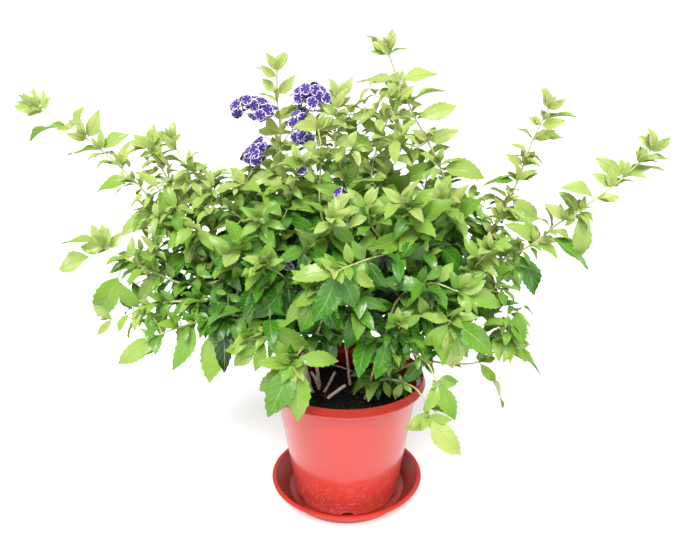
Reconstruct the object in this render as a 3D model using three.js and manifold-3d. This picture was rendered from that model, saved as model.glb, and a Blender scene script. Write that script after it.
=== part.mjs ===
// Potted golden dewdrop (Duranta): a bushy shrub with arching shoots and violet racemes,
// in a tapered plastic nursery pot that stands on its saucer.
// Millimetres, +Z up, the front towards -Y, the origin at the centre of the saucer's underside.
import * as THREE from "three";
import { mergeVertices } from "three/addons/utils/BufferGeometryUtils.js";
import Module from "manifold-3d";

const wasm = await Module();
wasm.setup();

// Driving dimensions
const gap = 0.3; // left between pieces that touch
const saucerLipRadius = 103.5;
const saucerBaseRadius = 81;
const saucerHeight = 24.5;
const saucerWall = 2.4;
const potHeight = 172; // from the foot's edge to the rim's top
const potFootRadius = 70;
const potShoulderRadius = 95; // outside, right under the rim band
const potRimRadius = 105;
const potRimBand = 12;
const potWall = 2.2;
const potFootHeight = 6; // the base plate stands this far above the foot's edge
const soilBelowRim = 30;
const lathedSides = 42;
const potNotches = 6;
const stemRootDepth = 14; // how far a stem reaches into the soil
const stemRadius = 2.6;
const stemStep = 34; // between the knots of a stem
const shootRadius = 1.4;
const shootStep = 25;
const seatDepth = 1.2; // how far from its bearer's axis a shoot starts
const racemeRadius = 0.9;
const racemeStep = 14;
const rodSides = 4;
const bladeLength = 62; // a longer leaf has a longer stalk, not a longer blade
const bladeWidth = 0.46; // of the blade's length
const bladeBow = 0.1; // how far the midrib arches, of the leaf's length
const bladeFold = 0.3; // how far the edges rise, of the half width
const bladeHalfThickness = 0.5;
const floretRadius = 4.6;
const floretReach = 9.5;
const clearance = 0.5; // between the leaves of different shoots

const up = new THREE.Vector3(0, 0, 1);
const front = new THREE.Vector3(0, -1, 0);
const potFootZ = saucerWall + gap;
const rimZ = potFootZ + potHeight;
const soilZ = rimZ - soilBelowRim;

// The woody stems, from the soil outwards: points that each passes, in order.
const stems = {
  stem_left: [[-44, 8], [-62, 4, 190], [-105, 0, 250], [-152, 0, 297]],
  stem_flower: [[-36, 18], [-50, 20, 250], [-80, 20, 345]],
  stem_front_left: [[-50, -4], [-52, -35, 200], [-45, -70, 245]],
  stem_back_left: [[-48, 24], [-75, 60, 230], [-110, 100, 310]],
  stem_right: [[32, 4], [62, 2, 195], [105, 2, 250], [145, 4, 295]],
  stem_middle: [[6, 22], [-4, 28, 240], [0, 15, 350]],
  stem_back_right: [[34, 26], [62, 70, 230], [95, 110, 310]],
  stem_front_right: [[22, -14], [36, -42, 205], [48, -60, 262]],
};

// The leafy shoots: what each grows on, where along it (0 to 1), the points that it passes, its leaves
// as [where along the shoot, reach in x, reach in z, turned to the front 0 to 1], and the number of
// further pairs that stand on it by the rule of opposite pairs, each turned a quarter from the last.
const shoots = {
  far_left: {
    on: "stem_left", at: 1, pairs: 0,
    way: [
      [-185, 5, 330], [-230, 15, 385], [-270, 25, 430], [-310, 35, 465], [-345, 40, 490],
      [-385, 45, 515],
    ],
    leaves: [
      [1, -14, 18, 1], [1, -26, 6, 0.5], [0.98, -20, -7, 0.8], [0.97, 8, 18, 1], [0.85, 24, 27, 0.6],
      [0.85, -60, -16, 0.1], [0.78, 22, 37, 1], [0.71, 37, 20, 0.6], [0.71, -50, -6, 0.2],
      [0.62, 14, 29, 1], [0.62, -24, 6, 0.1], [0.6, 3, -20, 1], [0.54, -49, -15, 0.5],
      [0.52, 24, 18, 0.5], [0.4, -22, 4, 0.2], [0.37, -60, -31, 0.6], [0.37, 22, 16, 0.6],
      [0.27, -38, -5, 0.1], [0.27, 4, 26, 1], [0.13, -56, -2, 0.5],
    ],
  },
  left_mid: {
    on: "far_left", at: 0.14, pairs: 1,
    way: [[-190, 18, 368], [-205, 24, 400], [-225, 28, 428], [-236, 30, 450], [-246, 34, 468]],
    leaves: [
      [1, -13, 9, 0.8], [1, 3, 14, 1], [0.94, -17, -5, 0.6], [0.87, 32, -4, 0.3], [0.78, 0, 29, 0.4],
      [0.69, -24, 3, 0.3], [0.66, 24, 19, 0.6], [0.48, 46, 31, 0.5], [0.48, -24, 4, 0.5],
    ],
  },
  left_high: {
    on: "stem_flower", at: 1, pairs: 0,
    way: [
      [-105, 6, 368], [-140, 2, 390], [-165, 8, 415], [-195, 12, 445], [-206, 18, 462], [-215, 20, 477],
    ],
    leaves: [
      [1, -5, 17, 1], [0.98, 13, 11, 1], [1, -18, 2, 0.2], [0.93, -25, 4, 0.1], [0.81, 17, 18, 0.3],
      [0.81, 25, -3, 0.6], [0.76, -26, -32, 0.9], [0.6, 28, 17, 0.1], [0.52, 12, 21, 1],
      [0.6, -30, -16, 0.7], [0.52, 31, 11, 0.3], [0.41, -20, -22, 0.8], [0.37, 29, 11, 0.6],
      [0.2, -18, -28, 0.8], [0.2, 29, 12, 0.6],
    ],
  },
  left: {
    on: "far_left", at: 0.02, pairs: 0,
    way: [[-200, -15, 302], [-235, -25, 320], [-260, -30, 336], [-290, -35, 355]],
    leaves: [
      [1, 8, 27, 0.8], [1, -17, 27, 1], [1, -53, 6, 0.1], [0.96, -77, -32, 0.6], [0.96, 15, 20, 0.8],
      [0.81, -44, -74, 0.9], [0.78, 2, 28, 0.7], [0.7, -36, -8, 0.4], [0.59, -4, 30, 0.5],
      [0.59, -32, -12, 0.1], [0.55, -24, -38, 0.9], [0.42, 20, 26, 0.6], [0.32, -20, -32, 0.8],
      [0.22, 22, 27, 0.6],
    ],
  },
  left_low: {
    on: "stem_left", at: 0.72, pairs: 0,
    way: [[-160, -35, 288], [-205, -45, 290], [-235, -50, 290], [-260, -52, 277], [-285, -54, 270]],
    leaves: [
      [1, -9, -13, 1], [0.99, -17, 7, 0.3], [0.88, -12, -20, 0.5], [0.8, -17, 36, 1],
      [0.73, -16, -23, 0.7], [0.64, -6, -46, 1], [0.58, -18, 14, 0.5], [0.42, -36, -17, 0.5],
      [0.33, 10, 25, 0.6], [0.32, -21, -34, 0.8], [0.19, 20, 24, 0.6], [0.19, -12, -32, 0.8],
    ],
  },
  low_left: {
    on: "stem_left", at: 0.62, pairs: 0,
    way: [[-125, -45, 272], [-160, -62, 274], [-195, -72, 268], [-225, -78, 258]],
    leaves: [
      [0.99, -47, -34, 0.7], [0.95, -20, -24, 0.8], [0.82, 4, -42, 1], [0.7, -29, -54, 0.6],
      [0.7, -23, -60, 0.4], [0.6, -5, -80, 1], [0.53, 4, -64, 0.9], [0.36, 16, -32, 0.8],
      [0.36, -12, 28, 0.5],
    ],
  },
  low_left_front: {
    on: "stem_front_left", at: 0.9, pairs: 0,
    way: [[-70, -82, 258], [-90, -92, 264], [-112, -98, 262]],
    leaves: [[0.75, -48, -16, 0.8], [0.92, -26, -38, 0.9], [0.8, -10, -40, 0.9], [0.55, -14, 22, 0.5]],
  },
  front_left: {
    on: "stem_front_left", at: 1, pairs: 0,
    way: [[-50, -95, 252], [-58, -122, 246]],
    leaves: [
      [0.99, -32, 29, 0.9], [1, -42, -1, 0.8], [0.96, 49, -8, 0.7], [0.96, -4, 22, 0.9],
      [0.98, 14, -16, 0.9], [1, 3, -68, 1], [1, -30, -62, 1], [1, -44, -48, 0.9],
    ],
  },
  flower_tall: {
    on: "stem_flower", at: 0.92, pairs: 0,
    way: [
      [-86, 26, 372], [-86, 30, 410], [-84, 30, 450], [-82, 32, 490], [-85, 35, 525], [-84, 35, 560],
    ],
    leaves: [
      [1, 14, 18, 0.8], [1, -9, 11, 1], [0.96, -25, 12, 0.2], [0.87, 23, 23, 1], [0.83, -27, 10, 0.1],
      [0.74, 26, 18, 0.8], [0.67, -28, 2, 0.7], [0.61, -29, -14, 0.8], [0.58, 28, 2, 0.3],
      [0.5, 30, 8, 0.6], [0.47, -43, -16, 0.8], [0.44, -55, 5, 0.1], [0.37, 30, 9, 0.6],
      [0.34, -39, -2, 0.3], [0.25, -22, -20, 0.8], [0.25, 28, -15, 0.8],
    ],
  },
  centre: {
    on: "stem_middle", at: 0.85, pairs: 1,
    way: [[-30, -4, 385], [-32, 0, 430], [-30, 4, 465], [-34, 8, 492]],
    leaves: [
      [0.98, -22, 13, 0.9], [0.98, 30, 12, 0.8], [0.89, -24, -2, 0.5], [0.8, 31, 13, 1],
      [0.78, -29, -10, 0.4], [0.62, -26, 3, 0.5], [0.62, 30, -5, 0.6], [0.42, -27, -12, 0.7],
      [0.4, 29, -4, 0.6],
    ],
  },
  centre_tall: {
    on: "stem_middle", at: 1, pairs: 0,
    way: [[6, 8, 400], [-6, 10, 440], [-14, 14, 475], [-11, 18, 510], [-10, 20, 528]],
    leaves: [
      [0.92, -10, 23, 1], [0.92, 15, 26, 0.5], [0.99, 6, 19, 0.8], [0.88, 20, 4, 0.1],
      [0.87, -30, 8, 0.2], [0.68, 24, 13, 0.8], [0.66, -27, -10, 0.6], [0.46, 30, 11, 0.6],
      [0.44, -26, -18, 0.7], [0.26, 29, -9, 0.6],
    ],
  },
  top_side: {
    on: "front_centre", at: 0.24, pairs: 0,
    way: [[58, 6, 398], [34, 10, 425], [32, 15, 448], [40, 20, 472], [50, 25, 500], [60, 30, 526]],
    leaves: [
      [1, -15, 7, 1], [1, 5, 18, 0.6], [0.94, -15, 4, 0.6], [0.87, -46, 1, 0.4], [0.88, 16, 2, 0.8],
      [0.78, -29, 22, 1], [0.69, 42, 20, 0.4], [0.68, -40, 15, 0.9], [0.56, -18, 19, 1],
      [0.48, 34, 10, 0.2], [0.42, -25, 8, 0.6], [0.34, 24, -10, 0.7], [0.28, -29, -10, 0.7],
    ],
  },
  top: {
    on: "stem_right", at: 1, pairs: 0,
    way: [
      [155, 18, 335], [145, 24, 375], [130, 28, 405], [119, 30, 440], [101, 35, 475], [84, 40, 505],
      [65, 45, 545], [50, 50, 582],
    ],
    leaves: [
      [1, 3, 22, 1], [1, -26, 19, 0.1], [0.98, 21, 8, 0.1], [0.98, -24, 4, 0.5], [0.87, -54, 2, 0.3],
      [0.87, 48, 12, 0.5], [0.84, -22, -8, 0.9], [0.79, 19, -4, 1], [0.78, 44, 17, 0.1],
      [0.72, 53, 15, 0.7], [0.72, -24, 8, 0.8], [0.61, 36, 16, 0.9], [0.62, -18, 6, 0.3],
      [0.52, -44, -23, 0.8], [0.52, 6, 16, 1], [0.51, 26, 11, 0.2], [0.5, 55, -12, 0.7],
      [0.42, 29, -24, 1], [0.42, -20, 6, 0.2], [0.39, -36, -26, 0.8], [0.33, 36, 4, 0.6],
      [0.29, -28, -23, 0.9], [0.23, 42, -9, 0.5], [0.12, -29, -33, 1], [0.12, 24, -32, 0.9],
    ],
  },
  right_high: {
    on: "top", at: 0.04, pairs: 0,
    way: [
      [162, 10, 328], [180, 12, 360], [195, 10, 385], [201, 10, 405], [210, 10, 425], [216, 10, 445],
      [225, 10, 475], [234, 6, 500], [240, 5, 516],
    ],
    leaves: [
      [1, -4, 24, 1], [1, 21, 8, 0.2], [1, 8, 15, 0.5], [0.93, 41, 4, 0.1], [0.9, -15, 11, 0.8],
      [0.82, 40, 3, 0.4], [0.82, -23, 15, 0.2], [0.69, -23, 12, 0.9], [0.68, 12, 7, 0.5],
      [0.59, -42, -6, 0.3], [0.59, -13, 12, 0.7], [0.59, 25, 11, 0.2], [0.5, 43, -32, 0.8],
      [0.49, -26, 14, 0.3], [0.46, -37, 3, 0.3], [0.38, 27, 14, 0.2], [0.38, 42, 0, 0.6],
      [0.36, -12, 18, 0.8], [0.25, 25, -14, 0.8], [0.25, -26, 17, 0.5], [0.16, -22, -18, 0.8],
    ],
  },
  far_right: {
    on: "stem_right", at: 0.9, pairs: 0,
    way: [
      [158, -6, 308], [180, -10, 325], [225, -20, 354], [255, -20, 380], [275, -25, 396],
      [308, -30, 424], [335, -30, 450], [352, -30, 470],
    ],
    leaves: [
      [1, -14, 17, 1], [1, 25, 9, 0.6], [1, 5, 14, 0.8], [0.93, -5, 15, 0.5], [0.93, 39, 6, 0.3],
      [0.85, -32, 23, 1], [0.85, 57, 8, 0.1], [0.79, -24, 17, 0.7], [0.79, 30, 8, 0.1],
      [0.72, -44, 14, 0.5], [0.64, -23, 23, 0.7], [0.65, 8, -66, 1], [0.63, -12, -17, 0.7],
      [0.57, -26, 22, 0.7], [0.57, -6, 23, 1], [0.49, 56, -45, 0.3], [0.43, -11, 31, 0.8],
      [0.43, -38, 23, 0.6], [0.35, 27, -57, 0.8], [0.31, 5, -38, 1], [0.3, -26, 15, 0.4],
      [0.21, 7, -38, 0.9], [0.21, -14, 17, 0.6], [0.14, 25, -35, 0.7],
    ],
  },
  right_low: {
    on: "stem_front_right", at: 0.92, pairs: 1,
    way: [[62, -62, 300], [95, -72, 322], [130, -80, 314]],
    leaves: [
      [1, -25, -4, 0.3], [1, 53, -21, 0.7], [1, 18, -19, 1], [1, 32, 23, 0.4], [0.98, -8, 24, 0.5],
      [0.8, 17, 25, 0.6], [0.62, 8, 25, 0.6], [0.62, -9, -35, 0.9],
    ],
  },
  right_low_front: {
    on: "stem_front_right", at: 1, pairs: 0,
    way: [[72, -72, 280], [100, -88, 288], [120, -98, 284]],
    leaves: [
      [1, 46, -34, 0.9], [1, 30, 8, 0.5], [0.98, -32, -33, 1], [0.99, -36, 6, 0.5], [1, 6, -64, 1],
      [1, 23, -48, 0.9], [0.6, -7, 27, 0.6], [0.6, 13, -34, 0.9], [0.3, -6, -28, 0.9],
    ],
  },
  thin_right: {
    on: "stem_right", at: 0.1, pairs: 0,
    way: [
      [70, -14, 186], [100, -20, 200], [130, -24, 198], [165, -26, 200], [185, -30, 215],
      [208, -30, 230],
    ],
    leaves: [
      [1, 20, 2, 0.2], [0.95, 10, 12, 1], [0.9, 57, -32, 0.2], [0.76, 26, -30, 1], [0.76, 42, -76, 0.4],
      [0.56, 20, -7, 0.3], [0.42, 8, 21, 0.6],
    ],
  },
  droop_right: {
    on: "stem_front_right", at: 0.78, pairs: 0,
    way: [[62, -72, 242], [92, -88, 232], [106, -96, 208]],
    leaves: [
      [1, 22, -45, 1], [1, -14, -37, 0.9], [0.68, -21, -36, 0.9], [0.62, 24, 5, 0.6],
      [0.36, -11, -31, 0.8],
    ],
  },
  droop_rim: {
    on: "stem_front_right", at: 0.2, pairs: 0,
    way: [[48, -36, 182], [80, -66, 188], [94, -92, 180], [98, -104, 168]],
    leaves: [
      [1, 38, -48, 1], [0.98, 22, -28, 0.8], [0.94, -26, -30, 0.9], [0.86, 26, 4, 0.5],
      [0.5, -8, -26, 0.9],
    ],
  },
  front_centre: {
    on: "top", at: 0.15, pairs: 0,
    way: [[100, -25, 372], [55, -75, 362], [20, -110, 360], [-10, -135, 355]],
    leaves: [
      [1, -48, -6, 0.6], [1, 18, -46, 1], [1, -26, -54, 1], [1, -14, 18, 0.8], [0.93, 28, -25, 0.9],
      [0.91, -6, 25, 0.7], [0.82, 22, -30, 1], [0.82, -16, 24, 0.7], [0.69, 18, -26, 1],
      [0.58, -24, 21, 0.6], [0.58, 34, -15, 0.8], [0.44, -15, 24, 0.6], [0.28, 20, -24, 0.8],
      [0.28, -19, 21, 0.5],
    ],
  },
  front_low: {
    on: "stem_front_left", at: 0.8, pairs: 1,
    way: [[-30, -84, 275], [-26, -106, 310], [-32, -124, 332]],
    leaves: [
      [1, -34, -38, 1], [1, -18, -48, 1], [1, 22, -54, 1], [1, -28, 19, 0.6], [0.87, 32, -10, 0.8],
      [0.7, 24, -24, 0.9], [0.6, -29, 6, 0.5],
    ],
  },
  low_tuft: {
    on: "stem_front_right", at: 0.62, pairs: 0,
    way: [[44, -72, 250], [58, -92, 266], [60, -104, 284]],
    leaves: [
      [0.97, -2, 23, 0.9], [0.95, -15, 10, 0.9], [0.97, 18, 4, 0.6], [0.84, 23, -23, 1],
      [0.66, -24, -9, 0.3], [0.58, -14, -50, 1], [0.56, 18, -40, 0.9],
    ],
  },
  low_front: {
    on: "stem_middle", at: 0.4, pairs: 0,
    way: [[2, -20, 262], [6, -60, 285], [10, -88, 302]],
    leaves: [
      [0.9, -8, -54, 1], [0.94, 24, -18, 0.8], [0.82, 12, -46, 1], [0.66, -20, -34, 1],
      [0.96, -18, 10, 0.6], [1, 27, 8, 0.7],
    ],
  },
  pot_low: {
    on: "stem_right", at: 0.14, pairs: 0,
    way: [[46, -10, 192]],
    leaves: [[1, -40, -42, 0.9], [0.9, 22, -26, 0.8], [0.6, -26, -10, 0.6]],
  },
  front_left_up: {
    on: "stem_flower", at: 0.6, pairs: 1,
    way: [[-62, -40, 300], [-72, -88, 336], [-90, -110, 354]],
    leaves: [
      [1, -4, -26, 1], [0.99, -22, 11, 0.6], [0.97, 20, 9, 0.6], [0.7, -38, -41, 1], [0.7, -3, -45, 1],
      [0.7, 22, 20, 0.6], [0.45, -27, -15, 0.8],
    ],
  },
  front_up: {
    on: "centre", at: 0.1, pairs: 1,
    way: [[-30, -60, 370], [-18, -92, 388], [-15, -104, 402]],
    leaves: [
      [1, 25, -24, 1], [0.98, -21, -13, 0.9], [1, 2, 19, 0.7], [0.72, -26, -15, 0.9],
      [0.72, 25, -17, 0.9], [0.5, -23, 13, 0.6],
    ],
  },
  mid_left: {
    on: "stem_left", at: 0.9, pairs: 5,
    way: [[-140, -28, 325], [-135, -55, 352]],
    leaves: [],
  },
  mid_left_up: {
    on: "left_high", at: 0.3, pairs: 5,
    way: [[-118, 14, 405], [-122, 20, 425]],
    leaves: [],
  },
  mid_front_left: {
    on: "stem_flower", at: 0.8, pairs: 5,
    way: [[-85, -30, 360], [-98, -72, 398]],
    leaves: [],
  },
  mid_up_left: {
    on: "flower_tall", at: 0.12, pairs: 5,
    way: [[-66, -2, 418], [-56, -10, 452]],
    leaves: [],
  },
  mid_front: {
    on: "front_centre", at: 0.62, pairs: 4,
    way: [[30, -80, 388], [22, -84, 414]],
    leaves: [],
  },
  mid_front_right: {
    on: "front_centre", at: 0.36, pairs: 5,
    way: [[78, -62, 395], [62, -84, 418]],
    leaves: [],
  },
  mid_right: {
    on: "top", at: 0.2, pairs: 5,
    way: [[128, -14, 388], [108, -42, 414]],
    leaves: [],
  },
  mid_right_low: {
    on: "stem_right", at: 0.8, pairs: 5,
    way: [[140, -35, 315], [150, -62, 340], [162, -76, 362]],
    leaves: [],
  },
  low_back: {
    on: "stem_back_left", at: 0.55, pairs: 5,
    way: [[-130, 82, 262], [-185, 95, 262]],
    leaves: [],
  },
  back_left: {
    on: "stem_back_left", at: 1, pairs: 5,
    way: [[-145, 135, 345], [-185, 160, 375]],
    leaves: [],
  },
  back_left_up: {
    on: "back_left", at: 0.1, pairs: 5,
    way: [[-110, 125, 360], [-95, 140, 430], [-98, 150, 475]],
    leaves: [],
  },
  back: {
    on: "stem_middle", at: 0.6, pairs: 6,
    way: [[-10, 90, 320], [-30, 165, 365], [-40, 225, 385]],
    leaves: [],
  },
  back_up: {
    on: "stem_middle", at: 0.9, pairs: 6,
    way: [[10, 70, 385], [12, 120, 440], [5, 145, 485]],
    leaves: [],
  },
  back_right: {
    on: "stem_back_right", at: 1, pairs: 5,
    way: [[135, 145, 345], [180, 180, 365]],
    leaves: [],
  },
  back_right_up: {
    on: "back_right", at: 0.1, pairs: 5,
    way: [[105, 120, 360], [115, 135, 420], [112, 150, 465]],
    leaves: [],
  },
  back_right_low: {
    on: "stem_back_right", at: 0.6, pairs: 5,
    way: [[120, 90, 268], [185, 105, 280], [235, 110, 282]],
    leaves: [],
  },
};

// The flower racemes: what each grows on, where along it, the points it passes and its number of florets.
const racemes = {
  raceme_left: {
    on: "flower_tall", at: 0.68,
    way: [[-98, 22, 506], [-118, 20, 508], [-142, 18, 512]],
    florets: 12,
  },
  raceme_top: {
    on: "flower_tall", at: 0.72,
    way: [[-70, 22, 515], [-54, 18, 528], [-38, 16, 540]],
    florets: 12,
  },
  raceme_middle: {
    on: "flower_tall", at: 0.6,
    way: [[-68, 18, 486], [-56, 12, 488], [-42, 8, 500]],
    florets: 8,
  },
  raceme_low: {
    on: "flower_tall", at: 0.56,
    way: [[-98, 20, 480], [-112, 16, 468], [-122, 14, 454]],
    florets: 10,
  },
  raceme_inner: {
    on: "front_left_up", at: 0.4,
    way: [[-58, -72, 344], [-66, -84, 352]],
    florets: 5,
  },
  raceme_small: {
    on: "centre", at: 0.22,
    way: [[-12, -16, 408], [-6, -22, 418]],
    florets: 5,
  },
};

const finishes = {
  pot: { color: 0xd9503c, roughness: 0.32, metalness: 0 },
  saucer: { color: 0xc9452f, roughness: 0.32, metalness: 0 },
  soil: { color: 0x1c1512, roughness: 0.95, metalness: 0 },
  bark: { color: 0x9a8466, roughness: 0.8, metalness: 0 },
  leaf: { color: 0x6fa32c, roughness: 0.45, metalness: 0 },
  petal: { color: 0x5b3aa8, roughness: 0.6, metalness: 0 },
};

function solidOf(geometry) {
  const bare = geometry.clone();
  bare.deleteAttribute("normal");
  bare.deleteAttribute("uv");
  const merged = mergeVertices(bare, 1e-4);
  return new wasm.Manifold(
    new wasm.Mesh({
      numProp: 3,
      vertProperties: new Float32Array(merged.attributes.position.array),
      triVerts: new Uint32Array(merged.index.array),
    }),
  );
}

function geometryOf(solid) {
  const { vertProperties, triVerts } = solid.getMesh();
  const geometry = new THREE.BufferGeometry();
  geometry.setAttribute("position", new THREE.BufferAttribute(new Float32Array(vertProperties), 3));
  geometry.setIndex(new THREE.BufferAttribute(new Uint32Array(triVerts), 1));
  geometry.computeVertexNormals();
  return geometry;
}

function turned(profile, segments) {
  const points = profile.map(([r, z]) => new THREE.Vector2(r, z));
  return solidOf(new THREE.LatheGeometry(points, segments).rotateX(Math.PI / 2));
}

// A small repeatable series of numbers between 0 and 1.
function series(seed) {
  let state = seed * 7919 + 17;
  return () => {
    state = (state * 16807) % 2147483647;
    return state / 2147483647;
  };
}

// A line that grows through the given points, as a row of straight runs between its knots.
class Line {
  constructor(path, radius, step) {
    this.path = path;
    this.radius = radius;
    this.length = Line.curve(path).getLength();
    this.runs = Math.max(2, Math.round(this.length / step));
    this.knots = Line.curve(path).getSpacedPoints(this.runs);
    this.rod = this.rodWith(0);
    this.room = this.rodWith(gap);
  }

  static curve(path) {
    return new THREE.CatmullRomCurve3(path, false, "catmullrom", 0.5);
  }

  pointAt(share) {
    const i = Math.min(Math.floor(share * this.runs), this.runs - 1);
    return this.knots[i].clone().lerp(this.knots[i + 1], share * this.runs - i);
  }

  headingAt(share) {
    const i = Math.min(Math.floor(share * this.runs), this.runs - 1);
    return this.knots[i + 1].clone().sub(this.knots[i]).normalize();
  }

  // The rod along the line, larger by spare all round.
  rodWith(spare) {
    const path = this.path.map((point) => point.clone());
    path[0].addScaledVector(this.headingAt(0), -spare);
    path.at(-1).addScaledVector(this.headingAt(1), spare);
    const corners = Array.from({ length: rodSides }, (_, i) => {
      const turn = (2 * Math.PI * i) / rodSides;
      return new THREE.Vector2(Math.cos(turn), Math.sin(turn)).multiplyScalar(this.radius + spare);
    });
    const options = { steps: this.runs, extrudePath: Line.curve(path) };
    return solidOf(new THREE.ExtrudeGeometry(new THREE.Shape(corners), options));
  }
}

// A leaf is a six-sided double pyramid drawn out to the blade's outline, arched and folded along its
// midrib. Its first corner lies at the base, its last at the tip.
function leafSolid(base, reach, facing) {
  const length = reach.length();
  const along = reach.clone().normalize();
  const out = up.clone().multiplyScalar(1 - facing).addScaledVector(front, facing);
  out.addScaledVector(along, -out.dot(along)).normalize();
  const across = new THREE.Vector3().crossVectors(along, out);
  const stalk = Math.max(0.1, 1 - bladeLength / length);
  const half = 0.5 * bladeWidth * length * (1 - stalk);
  const leaf = new THREE.SphereGeometry(1, 6, 2);
  const corner = new THREE.Vector3();
  for (let i = 0; i < leaf.attributes.position.count; i += 1) {
    corner.fromBufferAttribute(leaf.attributes.position, i);
    const { x, y, z } = corner;
    const share = x < -0.9 ? 0 : x > 0.9 ? 1 : stalk + (1 - stalk) * (0.48 + 0.36 * x);
    const side = (z / 0.866) * half * (x > 0.1 ? 0.8 : 1);
    const arch = bladeBow * length * Math.sin(Math.PI * share);
    const fold = bladeFold * Math.abs(side);
    corner.copy(base).addScaledVector(along, share * length).addScaledVector(across, side);
    corner.addScaledVector(out, arch + fold + bladeHalfThickness * y);
    leaf.attributes.position.setXYZ(i, corner.x, corner.y, corner.z);
  }
  return solidOf(leaf);
}

// The ways a leaf may lean so that it clears its neighbours, as shares of its length.
const leans = [
  [0, 0, 0], [0, -0.3, 0], [0, 0.3, 0], [0, 0, -0.3], [0, -0.6, 0], [0, 0.6, 0], [0, 0, 0.3],
  [0, -0.9, -0.2], [0, 0.9, -0.2],
];

function leaned(reach, lean) {
  const length = reach.length();
  return reach.clone().addScaledVector(new THREE.Vector3(...lean), length).setLength(length);
}

// Opposite pairs along a shoot, each turned a quarter from the last.
function pairedLeaves(line, pairs, random) {
  const leaves = [];
  for (let i = 0; i < pairs; i += 1) {
    const at = 0.2 + (0.8 * (i + 1)) / pairs;
    const heading = line.headingAt(at);
    const side = new THREE.Vector3(1, 0, 0).addScaledVector(heading, -heading.x).normalize();
    const other = new THREE.Vector3().crossVectors(heading, side);
    for (const half of [0, Math.PI]) {
      const turn = half + (i * Math.PI) / 2 + 0.5 + 0.5 * random();
      const spread = 0.95 + 0.35 * random();
      const length = (46 - 16 * at * at) * (0.85 + 0.35 * random());
      const reach = heading.clone().multiplyScalar(Math.cos(spread));
      reach.addScaledVector(side, Math.sin(spread) * Math.cos(turn));
      reach.addScaledVector(other, Math.sin(spread) * Math.sin(turn));
      reach.z -= 0.3;
      leaves.push({ at, reach: reach.setLength(length), facing: 0.2 + 0.6 * random() });
    }
  }
  return leaves;
}

function drawnLeaves(leaves, random) {
  return leaves.map(([at, x, z, facing]) => {
    const y = (random() - 0.5) * 0.7 * Math.hypot(x, z);
    return { at, reach: new THREE.Vector3(x, y, z), facing };
  });
}

function saucerSolid() {
  const top = saucerHeight;
  const lip = saucerLipRadius;
  return turned(
    [
      [0, 0], [saucerBaseRadius, 0], [lip - 4.2, top - 3], [lip - 0.6, top - 2.6], [lip, top - 0.8],
      [lip - 1, top], [lip - 5.6, top], [lip - 6.4, top - 1.4], [saucerBaseRadius - 0.6, saucerWall + 1.2],
      [saucerBaseRadius - 3, saucerWall], [0, saucerWall],
    ],
    lathedSides,
  );
}

function wallRadius(z) {
  const share = (z - potFootZ) / (rimZ - potRimBand - potFootZ);
  return potFootRadius + (potShoulderRadius - potFootRadius) * share;
}

// The pot: a hollow tapered wall with a stepped rim band, a base plate with drain holes and a notched foot.
function potSolid() {
  const plate = potFootZ + potFootHeight;
  const bandZ = rimZ - potRimBand;
  let pot = turned(
    [
      [0, plate], [wallRadius(plate) - potWall - 2, plate], [potFootRadius - 3.2, potFootZ],
      [potFootRadius - 0.6, potFootZ], [potFootRadius, potFootZ + 1], [potShoulderRadius, bandZ],
      [potRimRadius - 2, bandZ], [potRimRadius - 0.8, bandZ + 1], [potRimRadius, rimZ - 1.6],
      [potRimRadius - 1, rimZ], [potRimRadius - 3.6, rimZ], [potRimRadius - 5, bandZ + 2],
      [potShoulderRadius - potWall, bandZ - 2], [wallRadius(plate + potWall) - potWall, plate + potWall],
      [0, plate + potWall],
    ],
    lathedSides,
  );
  for (let i = 0; i < potNotches; i += 1) {
    const notch = new THREE.CylinderGeometry(7.5, 7.5, 14, 10).scale(1, 1, 0.62);
    notch.translate(0, -potFootRadius, potFootZ).rotateZ((2 * Math.PI * (i + 0.02)) / potNotches);
    const hole = new THREE.CylinderGeometry(5, 5, 8, 8).rotateX(Math.PI / 2);
    hole.translate(0, -42, plate + potWall / 2).rotateZ((2 * Math.PI * (i + 0.5)) / potNotches);
    pot = pot.subtract(solidOf(notch)).subtract(solidOf(hole));
  }
  return pot;
}

// The soil fills the pot and lies a little uneven, with a socket for each stem.
function soilSolid() {
  const bottom = potFootZ + potFootHeight + potWall + gap;
  const inside = (z) => wallRadius(z) - potWall - 2 * gap;
  let soil = turned(
    [
      [0, bottom], [inside(bottom), bottom], [inside(soilZ - 4), soilZ - 4], [inside(soilZ) - 8, soilZ - 2],
      [50, soilZ + 1], [26, soilZ], [0, soilZ + 2],
    ],
    24,
  );
  for (const name of Object.keys(stems)) soil = soil.subtract(lines[name].room);
  return soil;
}

// Florets set round a raceme's axis: four-sided cones that open outwards.
function floretSolids(line, florets) {
  return Array.from({ length: florets }, (_, i) => {
    const at = 0.3 + (0.7 * (i + 0.5)) / florets;
    const heading = line.headingAt(at);
    const side = front.clone().addScaledVector(heading, -front.dot(heading)).normalize();
    const other = new THREE.Vector3().crossVectors(heading, side);
    const turn = 2.4 * i;
    const reach = side.multiplyScalar(Math.cos(turn)).addScaledVector(other, Math.sin(turn));
    reach.addScaledVector(heading, 0.35).setLength(floretReach * (1 - 0.25 * at));
    const base = line.pointAt(at);
    const cone = new THREE.ConeGeometry(floretRadius * (1.1 - 0.3 * at), reach.length(), 4);
    cone.rotateX(Math.PI).translate(0, reach.length() / 2, 0);
    const aim = new THREE.Quaternion().setFromUnitVectors(new THREE.Vector3(0, 1, 0), reach.normalize());
    return solidOf(cone.applyQuaternion(aim).translate(base.x, base.y, base.z));
  });
}

// Each piece as it is placed, with its box, so that later leaves keep clear of it.
const placed = [];

function place(owner, solid) {
  placed.push({ owner, solid, box: solid.boundingBox() });
}

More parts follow.
